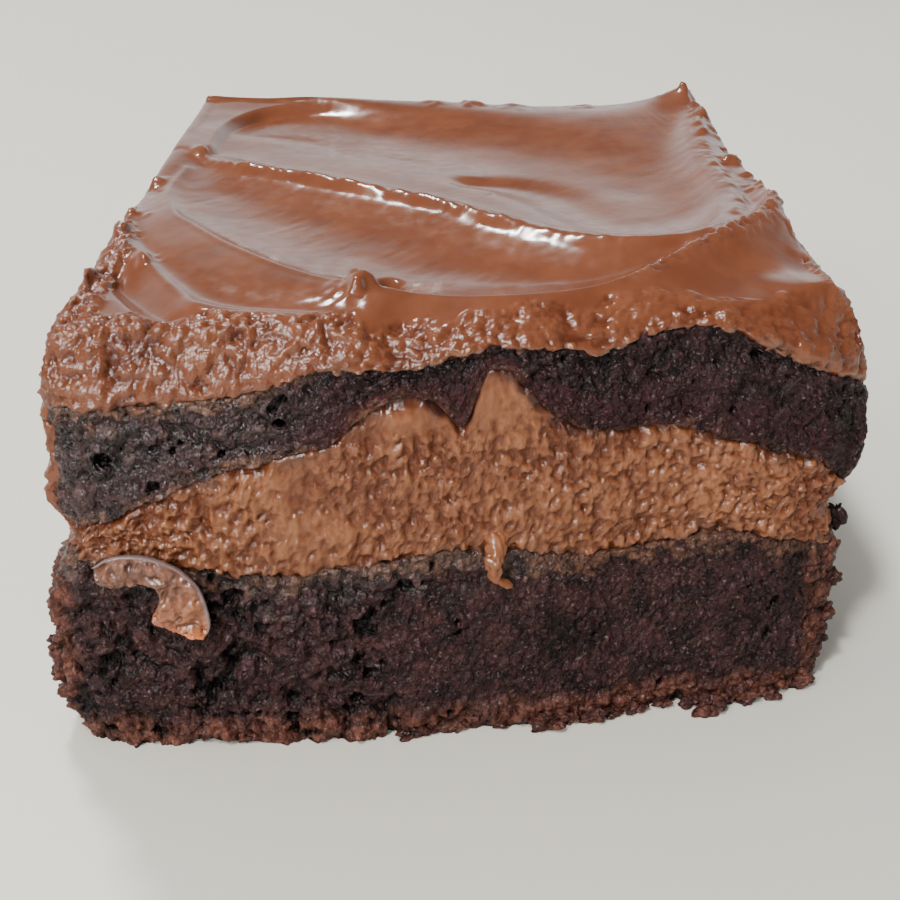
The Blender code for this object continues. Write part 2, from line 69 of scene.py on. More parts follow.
# Borders between the layers at the cut front: (x, height).
BOTTOM_TOP = [(-38, 21.2), (-34, 21.0), (-30, 20.5), (-25, 19.8), (-20, 18.8), (-15, 18.7),
              (-10, 19.5), (-5, 20.0), (0, 20.5), (5, 20.4), (10, 19.4), (15, 18.9),
              (20, 19.1), (25, 19.8), (30, 19.1), (35, 17.7), (40, 17.2)]
FILLING_TOP = [(-38, 24.2), (-33, 24.3), (-30, 25.3), (-27, 27.0), (-22, 29.0), (-18, 30.0),
               (-14, 31.0), (-10.5, 32.4), (-8.6, 34.3), (-6.6, 35.8), (-3, 36.3),
               (-1.0, 35.6), (0.2, 34.2), (1.0, 33.4), (1.8, 34.4), (2.7, 37.4), (4.2, 38.8),
               (6, 38.0), (8.5, 35.0), (11, 32.8), (14, 31.8),
               (20, 31.7), (25, 30.3), (29, 29.0), (33, 27.5), (36.5, 26.0), (40, 22.8)]
CAKE_TOP = [(-38, 35.0), (-33, 36.3), (-28, 36.2), (-24, 36.6), (-17, 37.5), (-13, 38.9),
            (-8, 39.6), (-5, 39.0), (-1, 40.0), (3, 40.7), (8, 40.4), (14, 40.0),
            (20, 41.2), (24, 41.2), (28, 39.8), (31, 38.2), (34, 36.2), (40, 33.6)]
BOTTOM_TOP_INSIDE = 19.6  # heights of the borders inside the slice
FILLING_TOP_INSIDE = 29.6
CAKE_TOP_INSIDE = 37.6
BORDER_DEPTH = 11.0       # how far the front's shape of a border runs inwards

# Ridges that the knife left in the spread frosting: (x, y, rise, width).
SPREAD_LEVEL = 42.8
BACK_RIM = [(-33.5, 42.8, 1.9, 1.6), (-24, 43.3, 1.9, 1.5), (-17, 42.4, 1.8, 2.0),
            (-9, 40.5, 1.6, 4.5), (0, 38.0, 1.4, 7.5), (10, 36.2, 1.0, 12.0),
            (18, 36.0, 1.0, 14.0), (25, 37.0, 1.3, 14.0), (29, 38.6, 2.0, 11.0),
            (31.8, 40.4, 3.4, 2.0)]
LEFT_RIM = [(-33, 42, 1.4, 2.6), (-33, 25, 1.3, 2.6), (-33, 12, 1.2, 2.4),
            (-33.6, 3, 0.9, 1.6)]
MIDDLE_CREST = [(-29, 14.6, 0.5, 2.6), (-23, 8.4, 1.2, 4.2), (-17, 4.2, 1.5, 5.0),
                (-11, -0.2, 1.65, 5.6), (-5, -4.6, 1.8, 6.2), (0, -8.6, 1.9, 6.6),
                (5.5, -14.2, 2.0, 6.6), (11.5, -19.6, 2.1, 6.0), (17.3, -22.4, 2.3, 5.0),
                (23, -22.4, 2.6, 3.6), (26.9, -18.6, 2.6, 3.4), (29.1, -11.4, 2.4, 3.0),
                (29.7, -1.5, 2.0, 2.8), (29.4, 9.5, 1.7, 2.8), (30.2, 24, 1.4, 3.0),
                (32, 34, 1.2, 3.0)]
FRONT_LIP = [(-30.9, 8.5, 0.5, 1.5), (-31.4, -1.0, 0.9, 2.0), (-29.6, -10.2, 1.15, 3.4),
             (-26.3, -16.0, 1.25, 5.0), (-22.4, -21.9, 1.3, 6.5), (-17.5, -27.7, 1.35, 7.0),
             (-11.7, -33.0, 1.4, 6.0), (-7.6, -35.9, 1.55, 5.0), (-3.5, -37.0, 1.4, 4.0),
             (2, -37.7, 1.3, 4.0), (8, -37.2, 1.4, 4.0), (13.6, -35.4, 1.7, 4.2),
             (18.3, -32.2, 2.1, 4.4), (22.2, -27.9, 2.6, 4.0), (26.6, -23.6, 2.9, 3.3),
             (31.2, -17.6, 3.0, 2.8), (34.2, -11.4, 3.3, 2.4), (35.4, -8.8, 3.7, 1.4)]
OUTER_RIDGE = [(-34.8, -8.0, 0.7, 1.4), (-33.6, -17.0, 0.9, 1.8), (-30.6, -24.6, 1.05, 2.1),
               (-27.4, -31.6, 1.05, 2.2), (-24.4, -37.0, 1.0, 2.0), (-20.6, -39.4, 0.9, 2.0),
               (-14.8, -40.8, 0.8, 2.0), (-9, -41.2, 0.5, 2.0)]
RIGHT_RIM = [(32.0, 38, 1.6, 2.8), (31.8, 25, 1.4, 2.6), (32.6, 10, 1.2, 2.6),
             (33.6, 0, 1.6, 2.6), (35.0, -7.5, 2.4, 2.2)]
RIGHT_FRONT = [(30, -29.6, 0.3, 2.0), (33, -31.5, 0.4, 2.0), (36.4, -32.0, 0.4, 1.8)]

# Strokes and hollows sunk into it: (x, y, depth, width).
FAR_STROKE = [(-24, 35, 0.4, 7.0), (-12, 31, 0.9, 10.0), (3, 23, 1.2, 11.5),
              (15, 10, 1.2, 11.0), (21, -6, 0.9, 8.5)]
NEAR_STROKE = [(-25, -3, 0.3, 7.0), (-12, -15, 0.5, 9.0), (0, -25, 0.6, 9.0),
               (11, -30, 0.4, 5.0)]
SMALL_STROKE = [(2.8, 6.6, 0.75, 2.4), (7.5, 5.6, 0.8, 4.0), (11.5, 0.4, 0.7, 4.4),
                (14.4, -7.0, 0.5, 3.6), (16.4, -13.0, 0.2, 2.4)]
LEFT_HOLLOW = [(-32.2, -23.5, 0.5, 1.2), (-30.2, -29.5, 1.5, 1.9), (-26.8, -36.0, 1.3, 1.9),
               (-24.0, -40.2, 0.8, 1.3)]
FOLD_LINE = [(-33.0, -16.5, 0.2, 1.2), (-29.6, -22.8, 0.35, 1.4), (-25.0, -30.5, 0.3, 1.5),
             (-19.5, -36.4, 0.15, 1.6), (-11.5, -38.9, 0.1, 1.6)]

# Level raised corner at the back left, by its edge (x, y).
PLATEAU_EDGE = [(-34.6, 7.0), (-31.0, 10.0), (-29.0, 15.0), (-29.0, 21.0), (-28.8, 28.0),
                (-27.4, 34.0), (-24.6, 38.2), (-20.0, 40.0), (-13.0, 39.6), (-5.0, 38.6)]
PLATEAU_RISE = 1.3

# Small torn peaks along the rims: (x, y, rise, width).
RIM_PEAKS = [(33.4, 31.0, 0.8, 1.1), (33.2, 22.0, 0.4, 1.1), (33.4, 10.3, 0.8, 1.2),
             (34.4, 3.0, 0.5, 1.0), (34.6, -3.4, 0.8, 1.2), (35.6, -16.0, 0.5, 1.1),
             (31.7, 40.7, 0.9, 0.6), (-2.0, 41.8, 0.3, 1.6),
             (3.0, 41.8, 0.5, 1.4), (9.0, 41.6, 0.4, 1.8), (18.0, 41.5, 0.3, 1.6),
             (-34.0, 2.5, 0.5, 1.2), (-34.2, -10.1, 0.7, 1.2), (-34.4, -16.5, 0.6, 1.0),
             (-34.4, -30.3, 1.5, 1.4), (-33.4, -36.0, 0.9, 1.3), (-30.2, -24.5, 0.5, 1.2)]

# Small lump where the knife was lifted, and the hollow behind it.
NUB_PLACE = (-8.0, -35.8)
NUB_RISE = 1.15
NUB_WIDTH = 1.45
NUB_HOLLOW = (-5.7, -31.0)
NUB_HOLLOW_DEPTH = 1.7

# How the frosting leans back from the cut front and from the other three sides.
PLAN_HEIGHT = 43.0        # height at which the outline of the spread is read
SLICE_FRONT = -44.0       # rough y of the front, and the length of the slice
SLICE_LENGTH = 87.0
FACE_LEAN = [(-38, 2.4), (-18, 2.2), (-10, 1.3), (-4, 0.75), (8, 0.72), (18, 0.72),
             (26, 0.85), (33, 1.3), (40, 1.8)]
FACE_FOOT = 1.0
FACE_EDGE = 0.2
RIM_FOOT = 41.0
RIM_LEAN = 3.4

# Thin skin of frosting on the left side, the tongue (x, height) and the curl.
SKIN_THICK = 1.1
SKIN_FROM_Y = -42.6
SKIN_TO_Y = 41.8
TONGUE = (4.7, 19.9)
TONGUE_HALF = (1.5, 0.8, 2.7)
CURL_HALF = 0.75
# Both edges of the curl from its tip to its foot: (outer x, height, inner x, height).
CURL_EDGES = [(-32.9, 20.8, -32.5, 19.0), (-31.3, 21.9, -31.1, 18.6),
              (-29.3, 22.2, -29.4, 19.0), (-27.0, 21.8, -27.8, 18.8),
              (-24.8, 20.6, -26.9, 18.0), (-23.2, 18.7, -27.3, 16.4),
              (-22.5, 16.3, -27.8, 15.2), (-22.4, 14.4, -26.2, 14.3),
              (-23.2, 13.1, -24.2, 13.2)]

# Bubble holes in the upper cake at the cut front: (x, height, radius).
BUBBLES = [(-26.8, 28.4, 0.62), (-15.2, 34.4, 0.5), (-31.2, 31.0, 0.8), (-20.5, 31.5, 0.35)]

# Crumbs that hang out along the front of the base: (x, y, size).
BASE_CRUMBS = [(-20.5, -44.2, 0.9), (-15.9, -43.7, 1.0), (-12.6, -43.4, 0.6),
               (-10.2, -42.9, 1.3), (-4.1, -43.9, 1.3), (-2.4, -43.3, 0.8),
               (0.7, -42.6, 0.8), (9.8, -42.2, 1.3), (11.8, -41.4, 0.8),
               (14.6, -41.2, 1.2), (16.4, -40.4, 0.8), (18.7, -39.4, 1.1),
               (24.6, -38.4, 0.9), (26.4, -39.3, 1.3), (28.0, -38.2, 0.9),
               (30.2, -38.0, 1.1), (33.0, -36.9, 0.9), (36.6, -34.6, 1.2),
               (-30.5, -44.4, 0.8), (-35.0, -41.6, 1.0), (-26.0, -44.6, 0.7),
               (5.0, -42.4, 0.7), (21.6, -38.6, 0.8)]

# Crumbs that stick out at the sides: (side, place along it, height, distance out, size).
EDGE_CRUMBS = [(1, -0.97, 15.2, -0.4, 1.0), (1, -0.96, 11.6, -0.3, 1.2),
               (1, -0.97, 7.6, -0.4, 1.2), (1, -0.96, 4.6, -0.2, 1.0),
               (-1, -0.97, 18.4, -0.3, 1.1), (-1, -0.97, 14.0, -0.4, 1.0),
               (-1, -0.96, 9.6, -0.3, 1.2), (-1, -0.95, 6.0, -0.3, 1.0)]
DARK_FLAKE = [(1, -0.93, 18.5, 0.55, 1.0)]

# How finely the pieces are divided.
LAYER_STEPS = (470, 250, 150, 215)      # along the front, right, back and left
TOP_COLUMNS = 330
TOP_ROWS = ((7.0, 62), (60.0, 132), (SLICE_LENGTH, 42))     # (distance from the front, rows)
WALL_LEVELS = 12
SKIN_STEPS = (210, 10, 70)              # outside, edges and inside
SKIN_ROWS = 52


# ---------------------------------------------------------------------------
# Smooth lines, ridges and troughs
# ---------------------------------------------------------------------------
def smooth_line(value, points):
    """Value of a smooth line through (place, height) points, level past its ends."""
    place = np.array([p[0] for p in points], dtype=float)
    height = np.array([p[1] for p in points], dtype=float)
    slope = np.gradient(height, place)
    value = np.clip(value, place[0], place[-1])
    i = np.clip(np.searchsorted(place, value) - 1, 0, len(place) - 2)
    wide = place[i + 1] - place[i]
    t = (value - place[i]) / wide
    start = (1 + 2 * t) * (1 - t) ** 2 * height[i] + t * (1 - t) ** 2 * wide * slope[i]
    end = t * t * (3 - 2 * t) * height[i + 1] + t * t * (t - 1) * wide * slope[i + 1]
    return start + end


def smooth_step(value, low, high):
    """0 below low and 1 above high, with a soft change between them."""
    t = np.clip((value - low) / (high - low), 0.0, 1.0)
    return t * t * (3 - 2 * t)


def smooth_path(points, pieces=6):
    """Rows of a smooth path through given points of any number of values."""
    rows = np.array(points, dtype=float)
    before = np.vstack([2 * rows[0] - rows[1], rows, 2 * rows[-1] - rows[-2]])
    path = []
    for i in range(1, len(rows)):
        a, b, c, d = before[i - 1], before[i], before[i + 1], before[i + 2]
        for t in np.arange(pieces) / pieces:
            path.append(0.5 * (2 * b + (c - a) * t + (2 * a - 5 * b + 4 * c - d) * t * t
                               + (3 * b - a - 3 * c + d) * t ** 3))
    path.append(rows[-1])
    return np.array(path)


def along_path(x, y, points):
    """Distance, side and blended values at the nearest place of a path."""
    path = smooth_path(points)
    nearest = np.full(x.shape, 1e9)
    side = np.zeros(x.shape)
    rise = np.zeros(x.shape)
    width = np.ones(x.shape)
    for a, b in zip(path[:-1], path[1:]):
        dx, dy = b[0] - a[0], b[1] - a[1]
        t = np.clip(((x - a[0]) * dx + (y - a[1]) * dy) / (dx * dx + dy * dy), 0, 1)
        off_x, off_y = x - a[0] - t * dx, y - a[1] - t * dy
        far = np.hypot(off_x, off_y)
        closer = far < nearest
        nearest = np.where(closer, far, nearest)
        side = np.where(closer, dx * off_y - dy * off_x, side)
        rise = np.where(closer, a[2] + t * (b[2] - a[2]), rise)
        width = np.where(closer, a[3] + t * (b[3] - a[3]), width)
    return nearest, side, rise, width


def ridge(path, far_width, steep_share=0.0):
    """Spread ridge: rounded towards the front, sharper behind its crest."""
    away, side, rise, width = path
    away = np.hypot(away, 0.4) - 0.4
    near = np.exp(-(away / width) ** 1.7)
    steep = np.exp(-(away / 0.9) ** 1.3)
    wide = np.exp(-(away / far_width) ** 1.6)
    behind = steep_share * steep + (1 - steep_share) * wide
    return rise * np.where(side < 0, near, behind)


def trough(path):
    """Depth of a smooth sunk stroke."""
    away, _, depth, width = path
    return depth * np.exp(-(away / width) ** 2.6)


def front_line(x):
    """y of the cut front."""
    return smooth_line(x, FRONT_LINE)


def left_side(z, along):
    """x of the left side; along runs from 0 at the cut front to 1 at the back."""
    calm = 1 - (1 - SIDE_CALM) * along
    return -36.4 + (smooth_line(z, LEFT_LINE) + 36.4) * calm + LEFT_TAPER * along


def right_side(z, along):
    """x of the right side, in the same way."""
    calm = 1 - (1 - SIDE_CALM) * along
    return 37.4 + (smooth_line(z, RIGHT_LINE) - 37.4) * calm - RIGHT_TAPER * along ** 0.8


def length_share(y):
    """Share of the slice's length at y, from 0 at the cut front to 1 at the back."""
    return np.clip((y - SLICE_FRONT) / SLICE_LENGTH, 0, 1)


def soft_lower(a, b, blend):
    """The lower of two heights with a softened join."""
    return 0.5 * (a + b - np.sqrt((a - b) ** 2 + blend * blend))


def plan(u, v, z, inset_left=0.0):
    """Place in the outline of the slice for u and v from -1 to 1 at height z."""
    cut = 1 - CORNER_CUT * np.abs(u) ** CORNER_POWER * np.abs(v) ** CORNER_POWER
    across = 0.5 * (u * cut + 1)
    along = 0.5 * (v * cut + 1)
    left = left_side(z, along)
    right = right_side(z, along)
    x = left + (right - left) * across + inset_left * np.maximum(0.0, 1 - (u + 1) / 0.16)
    y = front_line(x) + (smooth_line(x, BACK_LINE) - front_line(x)) * along
    return x, y


# ---------------------------------------------------------------------------
# Repeatable lumps and clumps
# ---------------------------------------------------------------------------
def flat_places(x, y):
    """Rows of places at height 0, for fields that are the same at every height."""
    return np.stack([np.ravel(x), np.ravel(y), np.zeros(np.size(x))], axis=1)


def lattice(x, y, z, seed):
    """Repeatable random number from 0 to 1 for whole numbered places."""
    n = (x * 374761393 + y * 668265263 + z * 1103515245 + seed * 144665377) & 0xFFFFFFFF
    n = ((n ^ (n >> 13)) * 1274126177) & 0xFFFFFFFF
    n = ((n ^ (n >> 15)) * 668265261) & 0xFFFFFFFF
    return ((n ^ (n >> 16)) & 0xFFFFFF) / 16777216.0


def lumps(p, size, seed):
    """Soft uneven field from -1 to 1 with lumps about size millimetres apart."""
    q = p / size
    cell = np.floor(q).astype(np.int64)
    f = q - cell
    f = f * f * f * (f * (f * 6 - 15) + 10)
    total = np.zeros(len(p))
    for dx, dy, dz in itertools.product((0, 1), repeat=3):
        weight = (np.where(dx, f[:, 0], 1 - f[:, 0]) * np.where(dy, f[:, 1], 1 - f[:, 1])
                  * np.where(dz, f[:, 2], 1 - f[:, 2]))
        total += weight * lattice(cell[:, 0] + dx, cell[:, 1] + dy, cell[:, 2] + dz, seed)
    return 2 * total - 1


def clumps(p, size, seed, jitter=0.9):
    """Nearest and second nearest distance to scattered centres, and the centre's number."""
    q = p / size
    cell = np.floor(q).astype(np.int64)
    first = np.full(len(p), 9.0)
    second = np.full(len(p), 9.0)
    number = np.zeros(len(p))
    for step in itertools.product((-1, 0, 1), repeat=3):
        c = cell + np.array(step)
        away = np.zeros(len(p))
        for axis in range(3):
            spot = 0.5 + jitter * (lattice(c[:, 0], c[:, 1], c[:, 2], seed + 7 * axis) - 0.5)
            away += (c[:, axis] + spot - q[:, axis]) ** 2
        away = np.sqrt(away)
        closer = away < first
        second = np.where(closer, first, np.minimum(second, away))
        number = np.where(closer, lattice(c[:, 0], c[:, 1], c[:, 2], seed + 31), number)
        first = np.minimum(first, away)
    return first, second, number


def bent(p, size, amount, seed):
    """Places pushed about unevenly, so that clumps lose their regular shape."""
    return p + amount * np.stack([lumps(p, size, seed + k) for k in range(3)], axis=1)


# ---------------------------------------------------------------------------
# Layer borders and the spread top
# ---------------------------------------------------------------------------
def edge_waver(x, y, seed, size):
    """Small unevenness of a border where it shows at the cut."""
    flat = flat_places(x, y)
    waver = 0.6 * lumps(flat, 2.2, seed) + 0.4 * lumps(flat, 0.9, seed + 5)
    return size * waver.reshape(np.shape(x))


def border(x, y, points, inside, seed, waver):
    """Height of a border between two layers; its front shape fades inwards."""
    x, y = np.asarray(x, dtype=float), np.asarray(y, dtype=float)
    run_in = smooth_step(y - front_line(x), 0.5, BORDER_DEPTH)
    wave = 0.5 * np.sin(x * 0.16 + 1.0) * np.sin(y * 0.13)
    level = smooth_line(x, points) * (1 - run_in) + (inside + wave) * run_in
    return level + edge_waver(x, y, seed, waver)


def base_level(x, y):
    """The flat base of the slice; a border like the others, so it takes x and y."""
    return np.zeros(np.shape(x))


def bottom_top(x, y):
    """Top of the lower cake."""
    return border(x, y, BOTTOM_TOP, BOTTOM_TOP_INSIDE, 11, 0.5)


def filling_low(x, y):
    """Lower edge of the cream, smeared a little over the cake below."""
    return bottom_top(x, y) - SMEAR_REACH


def filling_top(x, y):
    """Top of the cream, with the notch that it fills."""
    return border(x, y, FILLING_TOP, FILLING_TOP_INSIDE, 23, 0.5)


def filling_high(x, y):
    """Upper edge of the cream, smeared a little over the cake above."""
    return filling_top(x, y) + SMEAR_REACH


def cake_low(x, y):
    """Underside of the upper cake."""
    return filling_top(x, y) + 0.1


def cake_top(x, y):
    """Top of the upper cake, where the frosting starts."""
    return border(x, y, CAKE_TOP, CAKE_TOP_INSIDE, 37, 0.6)


def frosting_low(x, y):
    """Lower edge of the frosting, smeared a little over the cake below."""
    return cake_top(x, y) - SMEAR_REACH


def plateau(x, y):
    """Level raised corner at the back left, with a short steep wall."""
    points = [(px, py, 0.0, 1.0) for px, py in PLATEAU_EDGE]
    away, side, _, _ = along_path(x, y, points)
    inside = np.where(side > 0, away, -away)
    uneven = 0.10 * lumps(flat_places(x, y), 6.0, 751).reshape(x.shape)
    fades = (1 - smooth_step(x, -17.0, -7.0)) * smooth_step(y, 8.0, 17.0)
    return (PLATEAU_RISE + uneven) * smooth_step(inside, -0.9, 0.9) * fades


def bead(x, y, crest):
    """Thin uneven roll of frosting along the near side of the middle crest."""
    away, side, rise, _ = crest
    signed = np.where(side < 0, away, -away)
    flat = flat_places(x, y)
    uneven = (1.0 + 0.38 * lumps(flat, 2.4, 761) + 0.16 * lumps(flat, 0.9, 763)).reshape(x.shape)
    strong = 0.46 + 0.22 * (1 - smooth_step(x, 0.0, 12.0))
    return strong * uneven * np.minimum(rise / 1.2, 1) * np.exp(-((signed - 1.6) / 1.05) ** 2)


def nub(x, y, bend_x, bend_y):
    """Rise of the small lump at the front lip, less the hollow behind it."""
    away = np.hypot(x + bend_x - NUB_PLACE[0], 0.8 * (y + bend_y - NUB_PLACE[1]))
    lump = NUB_RISE * np.exp(-(away / NUB_WIDTH) ** 3) + 0.45 * np.exp(-(away / 3.2) ** 2)
    hollow = np.exp(-((x - NUB_HOLLOW[0]) ** 2 / 1.7 + (y - NUB_HOLLOW[1]) ** 2 / 5.0) ** 2)
    return lump - NUB_HOLLOW_DEPTH * hollow


def cut_back(x, y, height):
    """Brings the spread down to the cut front and to the other three sides."""
    to_front = np.maximum(y - front_line(x), 0)
    foot = smooth_line(x, CAKE_TOP) + FACE_EDGE
    foot += (FACE_FOOT - FACE_EDGE) * (1 - np.exp(-to_front / 0.7))
    height = soft_lower(height, foot + smooth_line(x, FACE_LEAN) * to_front, 0.5)
    to_back = smooth_line(x, BACK_LINE) - y
    along = length_share(y)
    to_left = x - left_side(PLAN_HEIGHT, along)
    to_right = right_side(PLAN_HEIGHT, along) - x
    for distance in (to_back, to_left, to_right):
        height = soft_lower(height, RIM_FOOT + RIM_LEAN * np.maximum(distance, 0), 0.4)
    return height


def top_height(x, y):
    """Height of the spread frosting, and the place of each point on its middle crest."""
    crest = along_path(x, y, MIDDLE_CREST)
    lip = along_path(x, y, FRONT_LIP)
    ridges = [ridge(along_path(x, y, BACK_RIM), 9.0),
              ridge(along_path(x, y, LEFT_RIM), 3.0),
              ridge(crest, 2.6, 0.35),
              ridge(lip, 5.0, 0.45),
              ridge(along_path(x, y, OUTER_RIDGE), 1.6),
              ridge(along_path(x, y, RIGHT_RIM), 3.0),
              ridge(along_path(x, y, RIGHT_FRONT), 3.0)]
    raised = sum(np.maximum(r, 0) ** 3 for r in ridges) ** (1 / 3)
    raised = np.maximum(raised, plateau(x, y))
    sunk = sum(trough(along_path(x, y, path)) for path in
               (FAR_STROKE, NEAR_STROKE, SMALL_STROKE, LEFT_HOLLOW, FOLD_LINE))
    flat = flat_places(x, y)
    bend_x = 0.7 * lumps(flat, 1.0, 771).reshape(x.shape)
    bend_y = 1.0 * lumps(flat, 1.2, 773).reshape(x.shape)
    height = SPREAD_LEVEL + raised - sunk + nub(x, y, bend_x, bend_y) + bead(x, y, crest)
    height += 0.14 * np.exp(-(lip[0] / 0.5) ** 2)
    for peak_x, peak_y, rise, width in RIM_PEAKS:
        away = np.hypot(x + bend_x - peak_x, y + bend_y - peak_y)
        height += rise * np.exp(-(away / width) ** 2)
    return cut_back(x, y, height), crest


# ---------------------------------------------------------------------------
# How each surface is broken
# ---------------------------------------------------------------------------
def domes(p, size, seed):
    """Rounded clumps from 0 in the crevices to 1 on top, and each clump's number."""
    first, _, number = clumps(p, size, seed)
    return 1 - np.minimum(first / 0.8, 1) ** 2, number


def ridged(p, size, seed):
    """Sharp ridges between rounded dips, from -1 to 1."""
    return 1 - 2.6 * np.abs(lumps(p, size, seed))


def crumb_depth(p, coarse, pits):
    """Open crumb: clumps that stand out, crevices between them, and torn pits."""
    q = bent(bent(p, 2.2, 0.8, 101), 0.8, 0.28, 105)
    big, number = domes(q, 2.3, 103)
    mid, mid_number = domes(q, 1.15, 107)
    small, small_number = domes(bent(p, 0.5, 0.2, 108), 0.6, 109)
    depth = coarse * (0.62 * np.sqrt(big) + 0.55 * (number - 0.5))
    depth += (0.25 + 0.75 * coarse) * (0.34 * mid + 0.42 * (mid_number - 0.5))
    depth += 0.26 * small + 0.20 * (small_number - 0.5)
    depth += 0.10 * ridged(q, 0.8, 111) * coarse + 0.25 * lumps(p, 5.0, 127) - 0.5 * coarse - 0.25
    torn = lumps(q, 1.9, 113) + 0.55 * lumps(p, 0.8, 117) + 0.35 * lumps(p, 4.5, 119)
    return depth - 0.95 * smooth_step(torn, pits, pits + 0.18)


def torn_depth(p, size, seed):
    """Torn cream: blunt peaks and little ridges with creases between them."""
    q = bent(p, 1.2 * size, 0.40 * size, seed)
    big, number = domes(q, size, seed + 3)
    small, _ = domes(q, 0.5 * size, seed + 5)
    uneven = lumps(p, 2.6 * size, seed + 9)
    fine = ridged(q, 0.62 * size, seed + 11)
    return size * (0.46 * big + 0.22 * small + 0.26 * (number - 0.5) + 0.15 * uneven
                   + 0.11 * fine - 0.42)


def near_border(p, height, size, seed):
    """How close places are to a border, from 1 on it to 0, with an uneven reach."""
    reach = size * (0.75 + 0.9 * lumps(p, 1.6, seed) + 0.5 * lumps(p, 0.6, seed + 3))
    return smooth_step(1 - height / np.maximum(reach, 0.05), 0.0, 0.55)


def thinning(p, height, seed, wide=0.0):
    """How far a smeared edge sinks back, so that its border is ragged."""
    reach = 1.1 + 1.3 * lumps(p, 1.9, seed) + 0.5 * lumps(p, 0.7, seed + 3) + wide
    return 0.9 * (1 - smooth_step(height, 0.0, np.maximum(reach, 0.1)))


def bottom_relief(p, share, tall):
    """Lower cake: open crumb, coarser and more torn to the left, with a browned crust.

    Each relief gives the depth outwards at places p, for the share of the layer's height
    that they are at and how tall it is there, and the marks that its finish reads."""
    x, y, z = p.T
    front = 1 - smooth_step(y, -34.0, -28.0)
    coarse = 0.25 + 0.75 * smooth_step(-x, -2.0, 12.0)
    coarse = 0.6 + (coarse - 0.6) * front
    crust = smooth_step(3.1 + 1.1 * lumps(p, 2.0, 211) - z, -0.7, 0.9)
    sides = smooth_step(np.abs(x) - 35.9 + 0.9 * lumps(p, 2.0, 223), -0.7, 0.7)
    crust = np.maximum(crust, sides)
    calm = smooth_step(x, -6.0, 4.0) * smooth_step(z, 3.5, 8.0) * (1 - smooth_step(x, 20.0, 34.0))
    calm = calm * front
    pits = 0.80 + 0.35 * smooth_step(x, -6.0, 6.0) * front - 0.24 * smooth_step(-x, 0, 10) * front
    depth = crumb_depth(p, coarse * (1 - 0.45 * calm), pits)
    lump, number = domes(bent(p, 1.2, 0.5, 225), 1.5, 227)
    depth += crust * (0.5 * lump + 0.5 * number - 0.45)
    foot = smooth_step(1.5 - z, 0.0, 1.5) * (1 - 0.8 * smooth_step(x, 24.0, 34.0))
    depth -= foot * (0.15 + 0.45 * lumps(p, 3.0, 229))
    smear = near_border(p, (1 - share) * tall, 2.4, 233)
    wet = near_border(p, (1 - share) * tall, 4.5, 241) * (1 - smooth_step(x, 4.0, 14.0)) * front
    return depth - 0.12, {"crust": crust, "smear": smear, "wet": wet}


def upper_relief(p, share, tall):
    """Upper cake: fine moist crumb with a few bubble holes, stained near the notch."""
    x, y, z = p.T
    low = smooth_step(0.42 - share + 0.15 * lumps(p, 2.5, 311), -0.08, 0.12)
    near_notch = np.exp(-((x + 1) / 9.0) ** 2)
    stain = np.clip(low * (0.45 + 0.6 * near_notch) + 0.6 * near_notch
                    * smooth_step(0.75 - share, 0, 0.3), 0, 1) * (y < -28)
    left = smooth_step(-x, 8.0, 20.0)
    depth = crumb_depth(p, 0.50 + 0.30 * left - 0.25 * stain, 0.90 - 0.2 * left + 0.3 * stain)
    for hole_x, hole_z, radius in BUBBLES:
        away = np.hypot(x - hole_x, z - hole_z) / radius
        depth += (y < -36) * (0.25 * np.exp(-((away - 1.35) / 0.3) ** 2)
                              - 1.3 * (1 - smooth_step(away, 0.7, 1.1)))
    smear = np.maximum(near_border(p, share * tall, 1.3, 333) * (1 - 0.7 * smooth_step(x, -9, -3)),
                       near_border(p, (1 - share) * tall, 2.1, 337) * left)
    wet = left * (y < -34)
    return depth * (1 - 0.3 * stain) - 0.12, {"stain": stain, "smear": smear, "wet": wet}


def filling_relief(p, share, tall):
    """Cream: torn all over, calmer in the notch and along one streak."""
    x, y, z = p.T
    front = 1 - smooth_step(y, -34.0, -28.0)
    above = tall * (1 - share)
    notch = np.exp(-((x + 0.5) / 8.0) ** 2) * smooth_step(z, 31.5, 34.5) * front
    streaked = np.exp(-((x + 13.5) / 3.5) ** 2)
    strength = 1 - 0.8 * notch - 0.45 * streaked
    left = smooth_step(-x, -8.0, 16.0)
    depth = strength * (0.80 * torn_depth(p, 1.05, 401) + 0.45 * left * torn_depth(p, 1.8, 405)
                        + 0.85 * torn_depth(p, 0.60, 409))
    depth += 0.15 * lumps(p, 6.0, 419) + 0.16 * streaked * lumps(p * (1, 1, 0.2), 0.75, 421)
    smear = np.maximum(near_border(p, share * tall, 2.0, 433), near_border(p, above, 1.6, 437))
    depth -= thinning(p, share * tall, 439) + thinning(p, above, 441, 0.8 * notch)
    fringe = 0.8 * lumps(p * (1, 1, 0.3), 1.1, 443) + 0.5 * lumps(p, 0.6, 447)
    reach = 1.8 + 0.6 * smooth_step(x, 3.0, 8.0) + 1.0 * fringe
    edge = smooth_step(reach - above, 0.0, 1.6) * np.exp(-((x - 1.5) / 13.0) ** 4)
    stain = 0.85 * edge * front
    depth += 0.55 * stain * torn_depth(p, 0.6, 451)
    rough = np.maximum(strength, stain)
    return depth - 0.12, {"rough": rough, "smear": smear * (1 - stain), "stain": stain}


